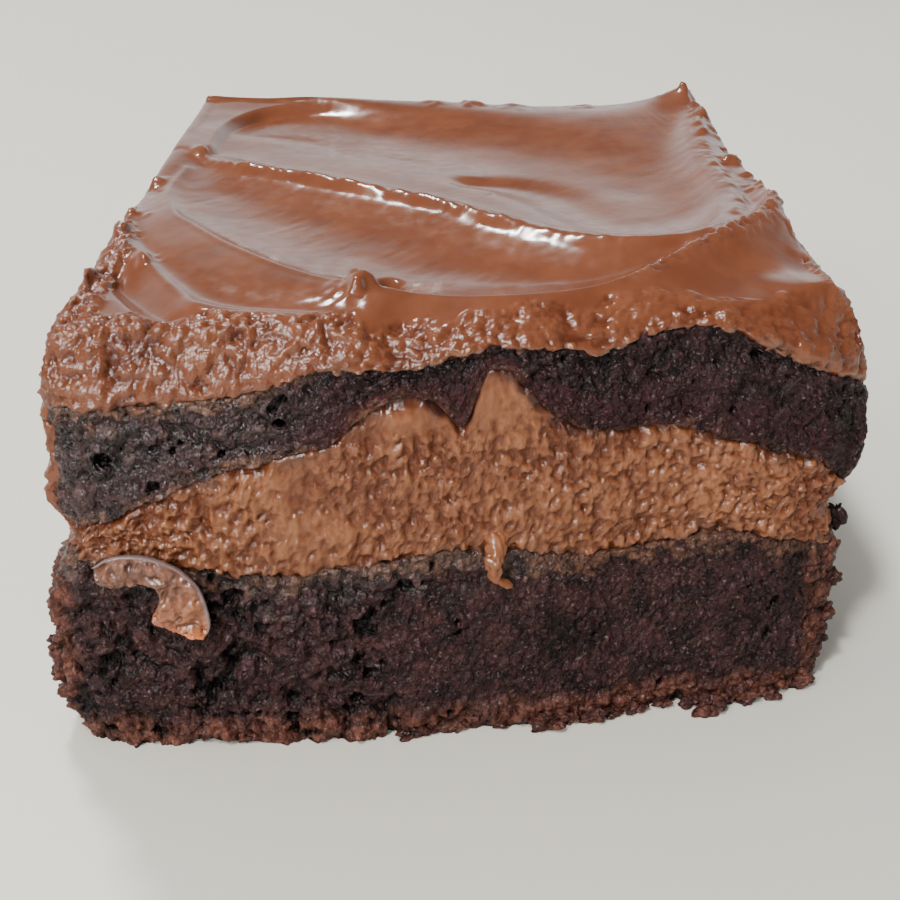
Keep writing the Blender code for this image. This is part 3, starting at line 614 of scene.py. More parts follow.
def frosting_rough(p, wall):
    """How rough the frosting is at each place, from 0 to 1."""
    x, y, z = p.T
    to_front = y - front_line(x)
    reach = smooth_line(x, [(-38, 7.5), (-30, 5.6), (-20, 4.4), (-10, 3.0), (0, 2.9),
                            (10, 3.2), (18, 3.4), (26, 3.2), (34, 3.6), (40, 3.6)])
    strong = smooth_line(x, [(-38, 1.1), (-20, 1.0), (-8, 0.85), (4, 0.7), (14, 0.5),
                             (20, 0.32), (30, 0.30), (40, 0.45)])
    wobble = lumps(p, 2.4, 503)
    rough = strong * smooth_step(reach + 1.2 * wobble - to_front, -0.5, 0.9)
    edge = 0.75 * smooth_step(1.1 + 0.6 * wobble - to_front, -0.3, 0.5)
    wide = 0.6 + 3.0 * smooth_step(-y, -2.0, 26.0)
    rim = smooth_step(left_side(PLAN_HEIGHT, 0.1) + wide + 0.9 * wobble - x, -0.5, 1.0)
    rim = rim * smooth_step(6.0 - y, -2.0, 8.0)
    lip = along_path(x, y, FRONT_LIP)[0]
    torn_lip = 0.5 * np.exp(-(lip / 1.2) ** 2) * smooth_step(x, 14.0, 20.0)
    sides = 0.45 * wall * smooth_step(42.0 + 0.5 * wobble - z, -0.4, 0.6)
    right = right_side(PLAN_HEIGHT, length_share(y))
    far_rim = 0.65 * smooth_step(x - right + 1.5 + 1.0 * wobble, -0.4, 0.8)
    return np.clip(np.maximum.reduce([rough, edge, rim, torn_lip, sides, far_rim]), 0, 1.2)


def frosting_depth(p, wall=0.0):
    """Torn relief where the frosting is rough, long folds near the right rim."""
    rough = frosting_rough(p, wall)
    depth = rough * (0.55 * torn_depth(p, 1.75, 521) + 0.55 * torn_depth(p, 1.05, 523)
                     + 0.60 * torn_depth(p, 0.65, 525) + 0.12)
    folded = smooth_step(p[:, 0] - right_side(PLAN_HEIGHT, 0.3) + 5.0, 0.0, 4.0)
    depth += folded * 0.22 * lumps(bent(p * (1, 0.6, 1), 2.0, 0.8, 527), 3.0, 529)
    return depth, rough


# ---------------------------------------------------------------------------
# Meshes
# ---------------------------------------------------------------------------
def ring_of(front, right, back, left):
    """Places round the outline as (u, v), counter clockwise from the front left."""
    us = np.linspace(-1, 1, front + 1)[:-1]
    vs = np.linspace(-1, 1, right + 1)[:-1]
    us2 = np.linspace(1, -1, back + 1)[:-1]
    vs2 = np.linspace(1, -1, left + 1)[:-1]
    return np.vstack([np.stack([us, -np.ones(front)], 1), np.stack([np.ones(right), vs], 1),
                      np.stack([us2, np.ones(back)], 1), np.stack([-np.ones(left), vs2], 1)])


def outward(wall):
    """Level unit vectors pointing out of a wall of rows of ring places."""
    run = np.roll(wall, -1, axis=1) - np.roll(wall, 1, axis=1)
    out = np.stack([run[..., 1], -run[..., 0], np.zeros(run.shape[:2])], axis=-1)
    return out / np.maximum(np.linalg.norm(out, axis=-1, keepdims=True), 1e-9)


def places_of(mesh):
    """Places of the vertices of a mesh, one row each."""
    spots = np.empty(len(mesh.vertices) * 3, dtype=np.float32)
    mesh.vertices.foreach_get("co", spots)
    return spots.reshape(-1, 3).astype(float)


def put_marks(mesh, marks):
    """Named values at the vertices, which the finishes read."""
    for name, values in marks.items():
        mark = mesh.attributes.new(name, "FLOAT", "POINT")
        mark.data.foreach_set("value", np.asarray(values, dtype=np.float32))


def grid_mesh(name, columns, rows):
    """Flat grid, with the row and the column of each of its vertices."""
    bm = bmesh.new()
    bmesh.ops.create_grid(bm, x_segments=columns, y_segments=rows, size=1.0)
    mesh = bpy.data.meshes.new(name)
    bm.to_mesh(mesh)
    bm.free()
    spots = places_of(mesh)
    column = np.rint((spots[:, 0] + 1) / 2 * columns).astype(int)
    row = np.rint((spots[:, 1] + 1) / 2 * rows).astype(int)
    return mesh, row, column


def shape_grid(mesh, places, marks):
    """Moves the vertices of a grid to their places and gives them their marks."""
    mesh.vertices.foreach_set("co", places.astype(np.float32).ravel())
    put_marks(mesh, marks)


def rolled_wall(wall, marks):
    """Mesh of a wall from a grid rolled round the slice; marks are named values."""
    rows, count = wall.shape[0] - 1, wall.shape[1]
    mesh, row, column = grid_mesh("wall", count, rows)
    column = column % count
    shape_grid(mesh, wall[row, column], {key: values[row, column] for key, values in marks.items()})
    return mesh


def joined(meshes, close_enough):
    """One bmesh of the meshes, with their open edges merged where they meet."""
    bm = bmesh.new()
    for mesh in meshes:
        bm.from_mesh(mesh)
    bmesh.ops.remove_doubles(bm, verts=[v for v in bm.verts if v.is_boundary], dist=close_enough)
    return bm


def steps(count):
    return int(count * FINE)


def close_loop(bm, edges, height):
    """Closes an open rim with a coarse hidden sheet at the given border height."""
    outer = edges
    for scale, sides in ((0.9, 60), (0.55, 20)):
        ring = bmesh.ops.create_circle(bm, segments=sides, radius=1.0)["verts"]
        for vert in ring:
            size = max(abs(vert.co.x), abs(vert.co.y)) / scale
            x, y = plan(vert.co.x / size, vert.co.y / size, 30.0)
            vert.co = (float(x), float(y), float(height(x, y)))
        inner = list({e for v in ring for e in v.link_edges})
        bmesh.ops.bridge_loops(bm, edges=outer + inner)
        outer = inner
    bmesh.ops.contextual_create(bm, geom=outer)


def rim_edges(bm, test):
    """Open edges that pass a test."""
    return [e for e in bm.edges if e.is_boundary and test(e)]


def finished(bm, name, material, replaced=None):
    """Object in metres that rides on the slice."""
    bmesh.ops.recalc_face_normals(bm, faces=bm.faces[:])
    bmesh.ops.translate(bm, verts=bm.verts[:], vec=(SHIFT_X, SHIFT_Y, 0.0))
    bmesh.ops.scale(bm, verts=bm.verts[:], vec=(MM, MM, MM))
    if bm.calc_volume(signed=True) < 0:
        bmesh.ops.reverse_faces(bm, faces=bm.faces[:])
    for face in bm.faces:
        face.smooth = True
    mesh = bpy.data.meshes.new(name)
    bm.to_mesh(mesh)
    bm.free()
    mesh.materials.append(material)
    obj = bpy.data.objects.new(name, mesh)
    bpy.context.scene.collection.objects.link(obj)
    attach(obj, "root")
    if replaced:
        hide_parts(replaced)
    return obj


def middle_of(wall, edge):
    """Height half way up the wall at an edge's place."""
    spot = edge.verts[0].co
    column = np.argmin((wall[0, :, 0] - spot.x) ** 2 + (wall[0, :, 1] - spot.y) ** 2)
    return 0.5 * (wall[0, column, 2] + wall[-1, column, 2])


def layer(name, low, high, rows, relief, material, inset_left=0.0):
    """One cake or cream layer with a finely broken wall."""
    ring = ring_of(*[steps(n) for n in LAYER_STEPS])
    rows = steps(rows)
    u = np.tile(ring[:, 0], (rows + 1, 1))
    v = np.tile(ring[:, 1], (rows + 1, 1))
    share = np.tile(np.linspace(0, 1, rows + 1)[:, None], (1, len(ring)))
    x, y = plan(u, v, 22.0)
    for _ in range(2):
        z = low(x, y) + share * (high(x, y) - low(x, y))
        x, y = plan(u, v, z, inset_left)
    wall = np.stack([x, y, z], axis=-1)
    out = outward(wall)
    tall = (high(x, y) - low(x, y)).ravel()
    depth, marks = relief(wall.reshape(-1, 3), share.ravel(), tall)
    depth = depth.reshape(share.shape)
    marks = {key: value.reshape(share.shape) for key, value in marks.items()}
    # The finishes darken by this mark: painted shade in the hollows of the relief.
    marks["hollow"] = -depth
    wall = wall + out * depth[..., None]
    if low is base_level:
        lift = 0.75 * np.maximum(0, lumps(wall.reshape(-1, 3) * (1, 1, 0), 2.6, 601))
        wall[..., 2] += lift.reshape(share.shape) * np.maximum(0, 1 - share * 9)
    bm = joined([rolled_wall(wall, marks)], 1e-4)
    for side, height in ((-1, low), (1, high)):
        edges = rim_edges(bm, lambda e: (e.verts[0].co.z - middle_of(wall, e)) * side > 0)
        close_loop(bm, edges, height)
    return finished(bm, name + "_crumb", material, name)


def surface_normals(spots):
    """Unit normals of a grid of places."""
    along_u = np.gradient(spots, axis=1)
    along_v = np.gradient(spots, axis=0)
    normal = np.cross(along_u, along_v)
    return normal / np.maximum(np.linalg.norm(normal, axis=-1, keepdims=True), 1e-9)


def stroke_marks(x, y, crest):
    """Fine drag marks and wrinkles that the spreading knife left."""
    flat = flat_places(x, y)
    slant = flat[:, 0] * 0.62 + flat[:, 1] * 0.78
    cross = -flat[:, 0] * 0.78 + flat[:, 1] * 0.62
    wrinkles = lumps(np.stack([slant / 3.2, cross, flat[:, 2]], axis=1), 0.75, 701)
    in_near = np.exp(-(along_path(x, y, NEAR_STROKE)[0] / 11.0) ** 4).ravel()
    on_crest = np.exp(-(crest[0].ravel() / 3.0) ** 2)
    marks = 0.014 * in_near * wrinkles + 0.05 * lumps(flat, 5.0, 709)
    marks += 0.004 * lumps(flat, 1.1, 719)
    marks += on_crest * (0.02 * lumps(flat, 1.6, 727) + 0.010 * lumps(flat, 0.6, 733))
    return marks.reshape(x.shape)


def edge_direction(row, column, rows, columns):
    """Level unit vectors out of the outline, for places on the edge of a grid."""
    side_x = np.where(column == 0, -1.0, np.where(column == columns, 1.0, 0.0))
    side_y = np.where(row == 0, -1.0, np.where(row == rows, 1.0, 0.0))
    out = np.stack([side_x, side_y, np.zeros(len(side_x))], axis=1)
    return out / np.maximum(np.linalg.norm(out, axis=1, keepdims=True), 1e-9)


def spread_wall(us, vs, spots, depth):
    """Low wall of the frosting, from the edge of its top down into the upper cake."""
    columns, rows = len(us) - 1, len(vs) - 1
    row = np.concatenate([np.zeros(columns), np.arange(rows), np.full(columns, rows),
                          np.arange(rows, 0, -1)]).astype(int)
    column = np.concatenate([np.arange(columns), np.full(rows, columns),
                             np.arange(columns, 0, -1), np.zeros(rows)]).astype(int)
    u, v = us[column], vs[row]
    x, y = plan(u, v, 38.0)
    for _ in range(2):
        z = frosting_low(x, y)
        x, y = plan(u, v, z)
    lower = np.stack([x, y, z], axis=-1)
    share = np.linspace(0, 1, steps(WALL_LEVELS) + 1)[:, None, None]
    wall = lower[None] + share * (spots[row, column] - lower)[None]
    out = outward(wall)
    out[-1] = edge_direction(row, column, rows, columns)
    flat = wall.reshape(-1, 3)
    above = (wall[..., 2] - lower[None, :, 2]).ravel()
    wall_depth, rough = frosting_depth(flat, 1.0)
    wall_depth -= 0.8 * thinning(flat, above, 541)
    smear = 0.9 * near_border(flat, above, 1.9, 547)
    wall_depth, rough, smear = (value.reshape(wall.shape[:2])
                                for value in (wall_depth, rough, smear))
    wall_depth[-1] = depth[row, column]
    wall = wall + out * wall_depth[..., None]
    return rolled_wall(wall, {"rough": rough, "hollow": -wall_depth, "smear": smear})


def frosting_piece(material):
    """Spread top with its broken front, its rim and its hidden underside."""
    columns = steps(TOP_COLUMNS)
    share = [0.0]
    for reach, count in TOP_ROWS:
        share += list(np.linspace(share[-1], reach / SLICE_LENGTH, steps(count) + 1)[1:])
    us = np.linspace(-1, 1, columns + 1)
    vs = 2 * np.array(share) - 1
    rows = len(vs) - 1
    u, v = np.meshgrid(us, vs)
    x, y = plan(u, v, PLAN_HEIGHT)
    z, crest = top_height(x, y)
    x, y = plan(u, v, np.minimum(z, PLAN_HEIGHT))
    spots = np.stack([x, y, z], axis=-1)
    depth, rough = (value.reshape(x.shape) for value in frosting_depth(spots.reshape(-1, 3)))
    depth = depth + stroke_marks(x, y, crest) * (1 - rough)

    top, row, column = grid_mesh("top", columns, rows)
    normal = surface_normals(spots)[row, column]
    level = edge_direction(row, column, rows, columns)
    on_rim = (row == 0) | (row == rows) | (column == 0) | (column == columns)
    normal = np.where(on_rim[:, None], level, normal)
    placed = spots[row, column] + normal * depth[row, column][:, None]
    shape_grid(top, placed, {"rough": rough[row, column], "hollow": -depth[row, column]})

    bm = joined([top, spread_wall(us, vs, spots, depth)], 1e-3)
    close_loop(bm, rim_edges(bm, lambda e: True), frosting_low)
    return finished(bm, "frosting_spread", material, "frosting")


def frosting_skin(material):
    """Thin skin of frosting pulled down the left side of the upper cake."""
    outside, edge, inside = (steps(n) for n in SKIN_STEPS)
    rows = steps(SKIN_ROWS)
    ring = [(0.0, t) for t in np.linspace(1, 0, outside + 1)[:-1]]
    ring += [(t, 0.0) for t in np.linspace(0, 1, edge + 1)[:-1]]
    ring += [(1.0, t) for t in np.linspace(0, 1, inside + 1)[:-1]]
    ring += [(t, 1.0) for t in np.linspace(1, 0, edge + 1)[:-1]]
    inset, along = np.array(ring).T
    inset = np.tile(inset, (rows + 1, 1))
    along = np.tile(along, (rows + 1, 1))
    share = np.tile(np.linspace(0, 1, rows + 1)[:, None], (1, len(ring)))
    y = SKIN_FROM_Y + along * (SKIN_TO_Y - SKIN_FROM_Y)
    side_x, _ = plan(-1.0, 2 * along - 1, 30.0)
    low = filling_top(side_x, y) + 0.2
    high = cake_top(side_x, y) + 1.8
    z = low + share * (high - low)
    x, _ = plan(-1.0, 2 * along - 1, z)
    spots = np.stack([x + 0.30 + 0.35 * smooth_step(z, high - 3.0, high), y, z], axis=-1)
    flat = spots.reshape(-1, 3)
    thick = 1.05 + 0.35 * lumps(flat, 2.0, 801).reshape(z.shape)
    spots[..., 0] += inset * thick
    spots[..., 1] += 0.35 * lumps(flat, 1.5, 811).reshape(z.shape) * (along < 0.02)
    barbs = torn_depth(flat, 1.0, 821) + 0.6 * torn_depth(flat, 2.1, 823)
    depth = 0.75 * barbs.reshape(z.shape)
    spots[..., 0] -= depth * (1 - inset)
    spots[..., 1] -= 0.5 * depth * (along < 0.02)
    marks = {"rough": np.ones(z.shape), "hollow": -depth * (1 - inset)}
    bm = joined([rolled_wall(spots, marks)], 1e-4)
    bmesh.ops.holes_fill(bm, edges=rim_edges(bm, lambda e: True), sides=0)
    return finished(bm, "frosting_skin", material)


def marked(bm, name, marks):
    """The same bmesh with marks on its vertices."""
    mesh = bpy.data.meshes.new(name)
    bm.to_mesh(mesh)
    put_marks(mesh, marks)
    bm.clear()
    bm.from_mesh(mesh)
    return bm


def hanging_tongue(material):
    """Small drop of cream that hangs over the front of the lower cake."""
    bm = bmesh.new()
    bmesh.ops.create_uvsphere(bm, u_segments=steps(48), v_segments=steps(36), radius=1.0)
    x0, z0 = TONGUE
    y0 = float(front_line(x0)) - GAP - TONGUE_HALF[1]
    normal = np.array([v.co[:] for v in bm.verts])
    x, y, z = normal.T
    blunt = (1.05 - z * z) ** -0.28
    foot = smooth_step(-z, 0.55, 0.95)
    placed = np.stack([x0 - 0.5 + x * blunt * (0.85 + 0.40 * z + 0.55 * foot) + 1.1 * foot,
                       y0 + y * blunt * TONGUE_HALF[1] + 1.9 * np.maximum(z - 0.15, 0),
                       z0 + z * TONGUE_HALF[2]], axis=1)
    depth = 0.8 * torn_depth(placed, 0.9, 841)
    placed += normal * depth[:, None]
    for vert, spot in zip(bm.verts, placed):
        vert.co = spot
    bm = marked(bm, "drop", {"hollow": -depth})
    return finished(bm, "hanging_tongue", material)


def cream_curl(material):
    """Hooked curl of cream against the lower cake, with a smooth skin on its outer rim."""
    path = smooth_path(CURL_EDGES, steps(16))
    rows, around = len(path) - 1, steps(64)
    angle = np.arange(around) / around * 2 * math.pi
    side, out = np.cos(angle), np.sin(angle)
    outer_x, outer_z, inner_x, inner_z = (path[:, k][:, None] for k in range(4))
    wide_x, wide_z = (outer_x - inner_x) / 2, (outer_z - inner_z) / 2
    t = np.linspace(0, 1, rows + 1)[:, None] * np.ones(around)
    deep = CURL_HALF * np.minimum(1.0, 0.35 + np.hypot(wide_x, wide_z) / 2.0)
    ends = np.sqrt(np.clip(1 - (2 * t - 1) ** 12, 0.05, 1))
    x = inner_x + wide_x + side * wide_x
    z = inner_z + wide_z + side * wide_z
    y = front_line(x) - GAP - 0.15 - CURL_HALF - deep * out * ends
    rim = np.exp(-((side - 0.96) / 0.09) ** 2) * (out > -0.2) * np.ones(t.shape)
    y -= 0.25 * rim * ends
    flat = np.stack([x, y, z], axis=-1).reshape(-1, 3)
    lower = smooth_step(t, 0.45, 0.75)
    rough = (1 - rim) * (0.65 + 0.35 * lower) * (out > -0.3)
    depth = torn_depth(flat, 1.0, 861).reshape(t.shape) * 1.05 * rough
    depth += 0.22 * lumps(flat * (0.4, 1, 1.4), 0.9, 867).reshape(t.shape) * (1 - rim)
    wall = np.stack([x + 0.3 * depth * side * np.sign(wide_x), y - depth, z], axis=-1)
    tip = smooth_step(t, 0.80, 0.97) * (1 - rim)
    marks = {"rim": rim, "tip": tip, "lower": lower * (1 - rim), "hollow": -depth}
    bm = joined([rolled_wall(wall, marks)], 1e-5)
    bmesh.ops.holes_fill(bm, edges=rim_edges(bm, lambda e: True), sides=0)
    return finished(bm, "curled_cream", material, "cream_curl")


def crumbs(name, places, material, seed, browned):
    """Torn crumbs; each place is (x, y, z, half width, half depth, half height)."""
    bm = bmesh.new()
    for number, (x, y, z, wide, deep, tall) in enumerate(places):
        fine = 4 if wide > 0.75 else 3
        new = bmesh.ops.create_icosphere(bm, subdivisions=fine, radius=1.0)["verts"]
        spots = np.array([v.co[:] for v in new])
        field = spots + (number * 7.3, 0, seed)
        grow = 1 + 0.75 * lumps(field, 0.8, seed) + 0.2 * lumps(field, 0.3, seed + 5)
        grow += 0.6 * (domes(field, 0.5, seed + 3)[0] - 0.5)
        spots = spots * grow[:, None] * (wide, deep, tall)
        for vert, spot in zip(new, spots):
            vert.co = (x + spot[0], y + spot[1], max(z + spot[2] + 0.2 * spot[0], 0.05))
    field = np.array([v.co[:] for v in bm.verts])
    crust = np.clip(browned + 0.5 * lumps(field, 1.2, seed + 7), 0, 1)
    bm = marked(bm, name, {"crust": crust, "hollow": 0.3 * lumps(field, 0.5, seed + 9)})
    return finished(bm, name, material)


def base_crumbs():
    """Places of the crumbs of the browned base, out over the floor along the front."""
    return [(x, y + 0.35, 0.5 * size, 1.0 * size, 0.75 * size, 0.6 * size)
            for x, y, size in BASE_CRUMBS]


def edge_crumbs(rows, tall):
    """Places of crumbs at the sides; tall is half their height for a size of 1."""
    places = []
    for side, along, z, out, size in rows:
        x, y = plan(float(side), along, z)
        places.append((float(x) + side * out, float(y), z, 0.75 * size, 0.7 * size, tall * size))
    return places


# ---------------------------------------------------------------------------
# Finishes
# ---------------------------------------------------------------------------
def shade(red, green, blue):
    """Linear colour from the values that a painter's colour chart gives."""
    values = [value / 255.0 for value in (red, green, blue)]
    linear = [v / 12.92 if v <= 0.04045 else ((v + 0.055) / 1.055) ** 2.4 for v in values]
    return (*linear, 1.0)


def tinted(colour, red, green, blue):
    """The same colour with its channels made stronger or weaker."""
    return tuple(c * k for c, k in zip(colour[:3], (red, green, blue))) + (1.0,)


class Finish:
    """Small helper for building one procedural material."""

    def __init__(self, name, roughness, specular=0.5):
        """Starts the material; its place runs in millimetres on the piece."""
        self.material = bpy.data.materials.new(name)
        self.material.use_nodes = True
        self.nodes = self.material.node_tree.nodes
        self.links = self.material.node_tree.links
        self.shader = self.nodes["Principled BSDF"]
        self.shader.inputs["Roughness"].default_value = roughness
        self.shader.inputs["Specular IOR Level"].default_value = specular
        coords = self.nodes.new("ShaderNodeTexCoord")
        place = self.nodes.new("ShaderNodeMapping")
        place.inputs["Scale"].default_value = (1000.0, 1000.0, 1000.0)
        self.links.new(coords.outputs["Object"], place.inputs["Vector"])
        self.place = place.outputs["Vector"]

    def noise(self, size, detail=3.0, rough=0.55):
        """Cloudy pattern with patches of about this size in millimetres."""
        node = self.nodes.new("ShaderNodeTexNoise")
        node.inputs["Scale"].default_value = 1.0 / size
        node.inputs["Detail"].default_value = detail
        node.inputs["Roughness"].default_value = rough
        self.links.new(self.place, node.inputs["Vector"])
        return node.outputs["Fac"]

    def cells(self, size):
        """Distance to the nearest of scattered grains."""
        node = self.nodes.new("ShaderNodeTexVoronoi")
        node.inputs["Scale"].default_value = 1.0 / size
        self.links.new(self.place, node.inputs["Vector"])
        return node.outputs["Distance"]

    def mark(self, name):
        """Value that the mesh holds under this name."""
        node = self.nodes.new("ShaderNodeAttribute")
        node.attribute_name = name
        return node.outputs["Fac"]

    def ranged(self, value, low, high, to_low=0.0, to_high=1.0):
        """A value from low to high, turned into one from to_low to to_high."""
        node = self.nodes.new("ShaderNodeMapRange")
        node.inputs["From Min"].default_value = low
        node.inputs["From Max"].default_value = high
        node.inputs["To Min"].default_value = to_low
        node.inputs["To Max"].default_value = to_high
        self.links.new(value, node.inputs["Value"])
        return node.outputs["Result"]

    def mixed(self, factor, first, second):
        """Two colours mixed: the first at 0 and the second at 1."""
        node = self.nodes.new("ShaderNodeMix")
        node.data_type = "RGBA"
        self.fill(node.inputs[0], factor)
        self.fill(node.inputs[6], first)
        self.fill(node.inputs[7], second)
        return node.outputs[2]

    def maths(self, operation, first, second):
        """Two values multiplied, added and so on."""
        node = self.nodes.new("ShaderNodeMath")
        node.operation = operation
        self.fill(node.inputs[0], first)
        self.fill(node.inputs[1], second)
        return node.outputs[0]

    def patchy(self, name, low, least=0.2):
        """A mark broken up by small clouds."""
        clouds = self.ranged(self.noise(0.8, 4.0), low, 0.60, least, 1.0)
        return self.maths("MULTIPLY", self.mark(name), clouds)

    def fill(self, socket, value):
        """Gives a socket a plain value or another node's output."""
        if isinstance(value, (int, float, tuple)):
            socket.default_value = value
        else:
            self.links.new(value, socket)

    def set(self, name, value):
        """Sets a socket of the shader."""
        self.fill(self.shader.inputs[name], value)

    def bumps(self, *layers):
        """Each layer is (height, depth in millimetres, strength)."""
        normal = None
        for height, depth, strength in layers:
            node = self.nodes.new("ShaderNodeBump")
            node.inputs["Distance"].default_value = depth * MM
            node.inputs["Strength"].default_value = strength
            self.links.new(height, node.inputs["Height"])
            if normal:
                self.links.new(normal, node.inputs["Normal"])
            normal = node.outputs["Normal"]
        self.links.new(normal, self.shader.inputs["Normal"])
        self.links.new(normal, self.shader.inputs["Coat Normal"])


# Pale grey on the wet patches of the cake: painted sheen of a glossy film.
PAINTED_WET_SHEEN = shade(112, 84, 78)
# Pale specks painted on the cake: painted glints.
PAINTED_GLINT_SPECK = shade(138, 120, 118)
# Near black in the gaps between grains: painted shade.
PAINTED_GRAIN_SHADE = shade(14, 6, 6)
# Near black in the relief's hollows: painted shade.
PAINTED_CREVICE_SHADE = shade(7, 2, 3)


def mud_cake(name, light, dark, smear, dull, wet, crust=None, stain=None):
    """Moist cake crumb, with painted glints, a painted sheen on its wet patches and painted shade
    between its grains and in its hollows; dull and wet are the roughness of its dry and wet
    patches.
    """
    f = Finish(name, 0.4, 0.06)
    f.set("Coat Weight", f.ranged(f.mark("wet"), 0.0, 1.0, 0.18, 0.6))
    f.set("Coat Roughness", 0.09)
    grains = f.cells(0.7)
    body = f.mixed(f.ranged(f.noise(2.4, 4.0, 0.6), 0.36, 0.64), dark, light)
    # Small spots of the light tone made more than twice as bright: painted glints.
    painted_glints = f.ranged(f.noise(0.6, 3.0), 0.60, 0.72, 0.0, 0.7)
    body = f.mixed(painted_glints, body, tinted(light, 2.2, 2.2, 2.2))
    if crust:
        crust_tone = f.mixed(f.ranged(f.noise(1.3, 4.0), 0.36, 0.66), crust[0], crust[1])
        body = f.mixed(f.mark("crust"), body, crust_tone)
    if stain:
        body = f.mixed(f.mark("stain"), body, stain)
    body = f.mixed(f.patchy("smear", 0.38, 0.15), body, smear)
    # Pale patches on the wet places: painted sheen; the wet mark also gives the real coat.
    painted_sheen = f.maths("MULTIPLY", f.mark("wet"), f.ranged(f.noise(1.8, 4.0), 0.52, 0.66, 0.0, 0.45))
    body = f.mixed(painted_sheen, body, PAINTED_WET_SHEEN)
    # Pale specks from fine clouds: painted glints.
    body = f.mixed(f.ranged(f.noise(0.35, 2.0), 0.62, 0.70, 0.0, 0.5), body, PAINTED_GLINT_SPECK)
    # The gaps between the grains darkened: painted shade.
    body = f.mixed(f.ranged(grains, 0.35, 0.70, 0.0, 0.45), body, PAINTED_GRAIN_SHADE)
    # Darker where the relief is deepest, by the hollow mark: painted shade in the crevices.
    body = f.mixed(f.ranged(f.mark("hollow"), 0.10, 0.75, 0.0, 0.95), body, PAINTED_CREVICE_SHADE)
    f.set("Base Color", body)
    f.set("Roughness", f.ranged(f.noise(1.1, 4.0), 0.42, 0.58, dull, wet))
    f.bumps((f.ranged(f.cells(0.5), 0.0, 0.7, 1.0, 0.0), 0.20, 0.6),
            (f.noise(0.8, 4.0, 0.6), 0.35, 0.7), (f.noise(0.3, 3.0, 0.6), 0.24, 0.8))
    return f.material


def curl_finish(name):
    """Curl: brown cream, lighter to its foot, with a pale skin on its rim and painted shade in its
    creases.
    """
    f = Finish(name, 0.28, 0.45)
    clouds = f.ranged(f.noise(1.0, 4.0, 0.6), 0.38, 0.62)
    tone = f.mixed(clouds, shade(80, 50, 39), shade(126, 83, 66))
    tone = f.mixed(f.mark("lower"), tone, shade(146, 90, 62))
    tone = f.mixed(f.mark("tip"), tone, shade(196, 112, 66))
    # Darker in the relief's hollows: painted shade.
    tone = f.mixed(f.ranged(f.mark("hollow"), 0.0, 0.45, 0.0, 0.8), tone, shade(76, 42, 28))
    tone = f.mixed(f.mark("rim"), tone, shade(128, 108, 106))
    f.set("Base Color", tone)
    f.set("Roughness", f.ranged(f.noise(0.8, 3.0), 0.35, 0.65, 0.18, 0.32))
    f.bumps((f.noise(0.6, 3.0, 0.5), 0.12, 0.7), (f.noise(0.2, 2.0), 0.04, 0.5))
    return f.material


def cream(name, light, dark, smear, roughness, specular, pebble, stain=None):
    """Chocolate cream or frosting, with painted shade in its creases; pebble is the depth of its
    fine unevenness.
    """
    f = Finish(name, roughness, specular)
    tone = f.mixed(f.ranged(f.noise(3.5, 3.0), 0.35, 0.65), dark, light)
    # Darker copy of the dark tone in the relief's hollows: painted shade in the creases.
    deep = tinted(dark, 0.50, 0.36, 0.30)
    tone = f.mixed(f.ranged(f.mark("hollow"), -0.05, 0.36, 0.0, 0.95), tone, deep)
    tone = f.mixed(f.patchy("smear", 0.36), tone, smear)
    if stain:
        tone = f.mixed(f.mark("stain"), tone, stain)
    f.set("Base Color", tone)
    polish = f.ranged(f.noise(1.5, 3.0), 0.35, 0.65, roughness - 0.04, roughness + 0.05)
    dull = f.maths("MULTIPLY", f.mark("stain"), 0.24)
    f.set("Roughness", f.maths("ADD", polish, dull))
    broken = f.maths("MULTIPLY", f.noise(0.5, 3.0, 0.5), f.mark("rough"))
    f.bumps((broken, 0.24, 0.8), (f.noise(0.8, 2.0, 0.5), pebble, 0.6))
    return f.material


# ---------------------------------------------------------------------------
# The slice
# ---------------------------------------------------------------------------
MUD = mud_cake("mud_cake_crumb", shade(66, 39, 39), shade(24, 12, 14), shade(104, 72, 56),
               0.5, 0.18, crust=(shade(64, 34, 30), shade(116, 71, 57)))
MUD_UPPER = mud_cake("upper_cake_crumb", shade(55, 32, 35), shade(14, 6, 8), shade(114, 78, 60),
                     0.42, 0.10, stain=shade(56, 25, 28))
CREAM = cream("chocolate_cream", shade(141, 90, 61), shade(123, 76, 50), shade(94, 62, 47),
              0.18, 0.30, 0.03, stain=shade(40, 17, 16))
SPREAD = cream("chocolate_frosting", shade(118, 69, 46), shade(106, 60, 40), shade(108, 80, 64),
               0.17, 0.38, 0.01)

layer("bottom_cake", base_level, bottom_top, 88, bottom_relief, MUD)
layer("filling", filling_low, filling_high, 58, filling_relief, CREAM)
layer("top_cake", cake_low, cake_top, 48, upper_relief, MUD_UPPER,
      SKIN_THICK)
frosting_piece(SPREAD)
frosting_skin(SPREAD)
hanging_tongue(CREAM)
cream_curl(curl_finish("curled_cream"))
crumbs("base_crumbs", base_crumbs(), MUD, 901, 0.6)
crumbs("edge_crumbs", edge_crumbs(EDGE_CRUMBS, 0.7), MUD, 911, 0.5)
crumbs("dark_flake", edge_crumbs(DARK_FLAKE, 1.4), MUD_UPPER, 921, 0.0)

# ---------------------------------------------------------------------------
# Floor, light and camera
# ---------------------------------------------------------------------------
WARM_WHITE = (1.0, 0.985, 0.96)
LAMP_WHITE = (1.0, 0.99, 0.97)
ROOM = (0.12, 0.12, 0.123, 1.0)
PALE_WALL = (1.12, 1.20, 1.23, 1.0)
CAMERA_BACK = -165.5      # millimetres, in the slice's own places
CAMERA_HEIGHT = 90.0
CAMERA_DOWN = 25.6        # degrees
CAMERA_LENS = 60.0


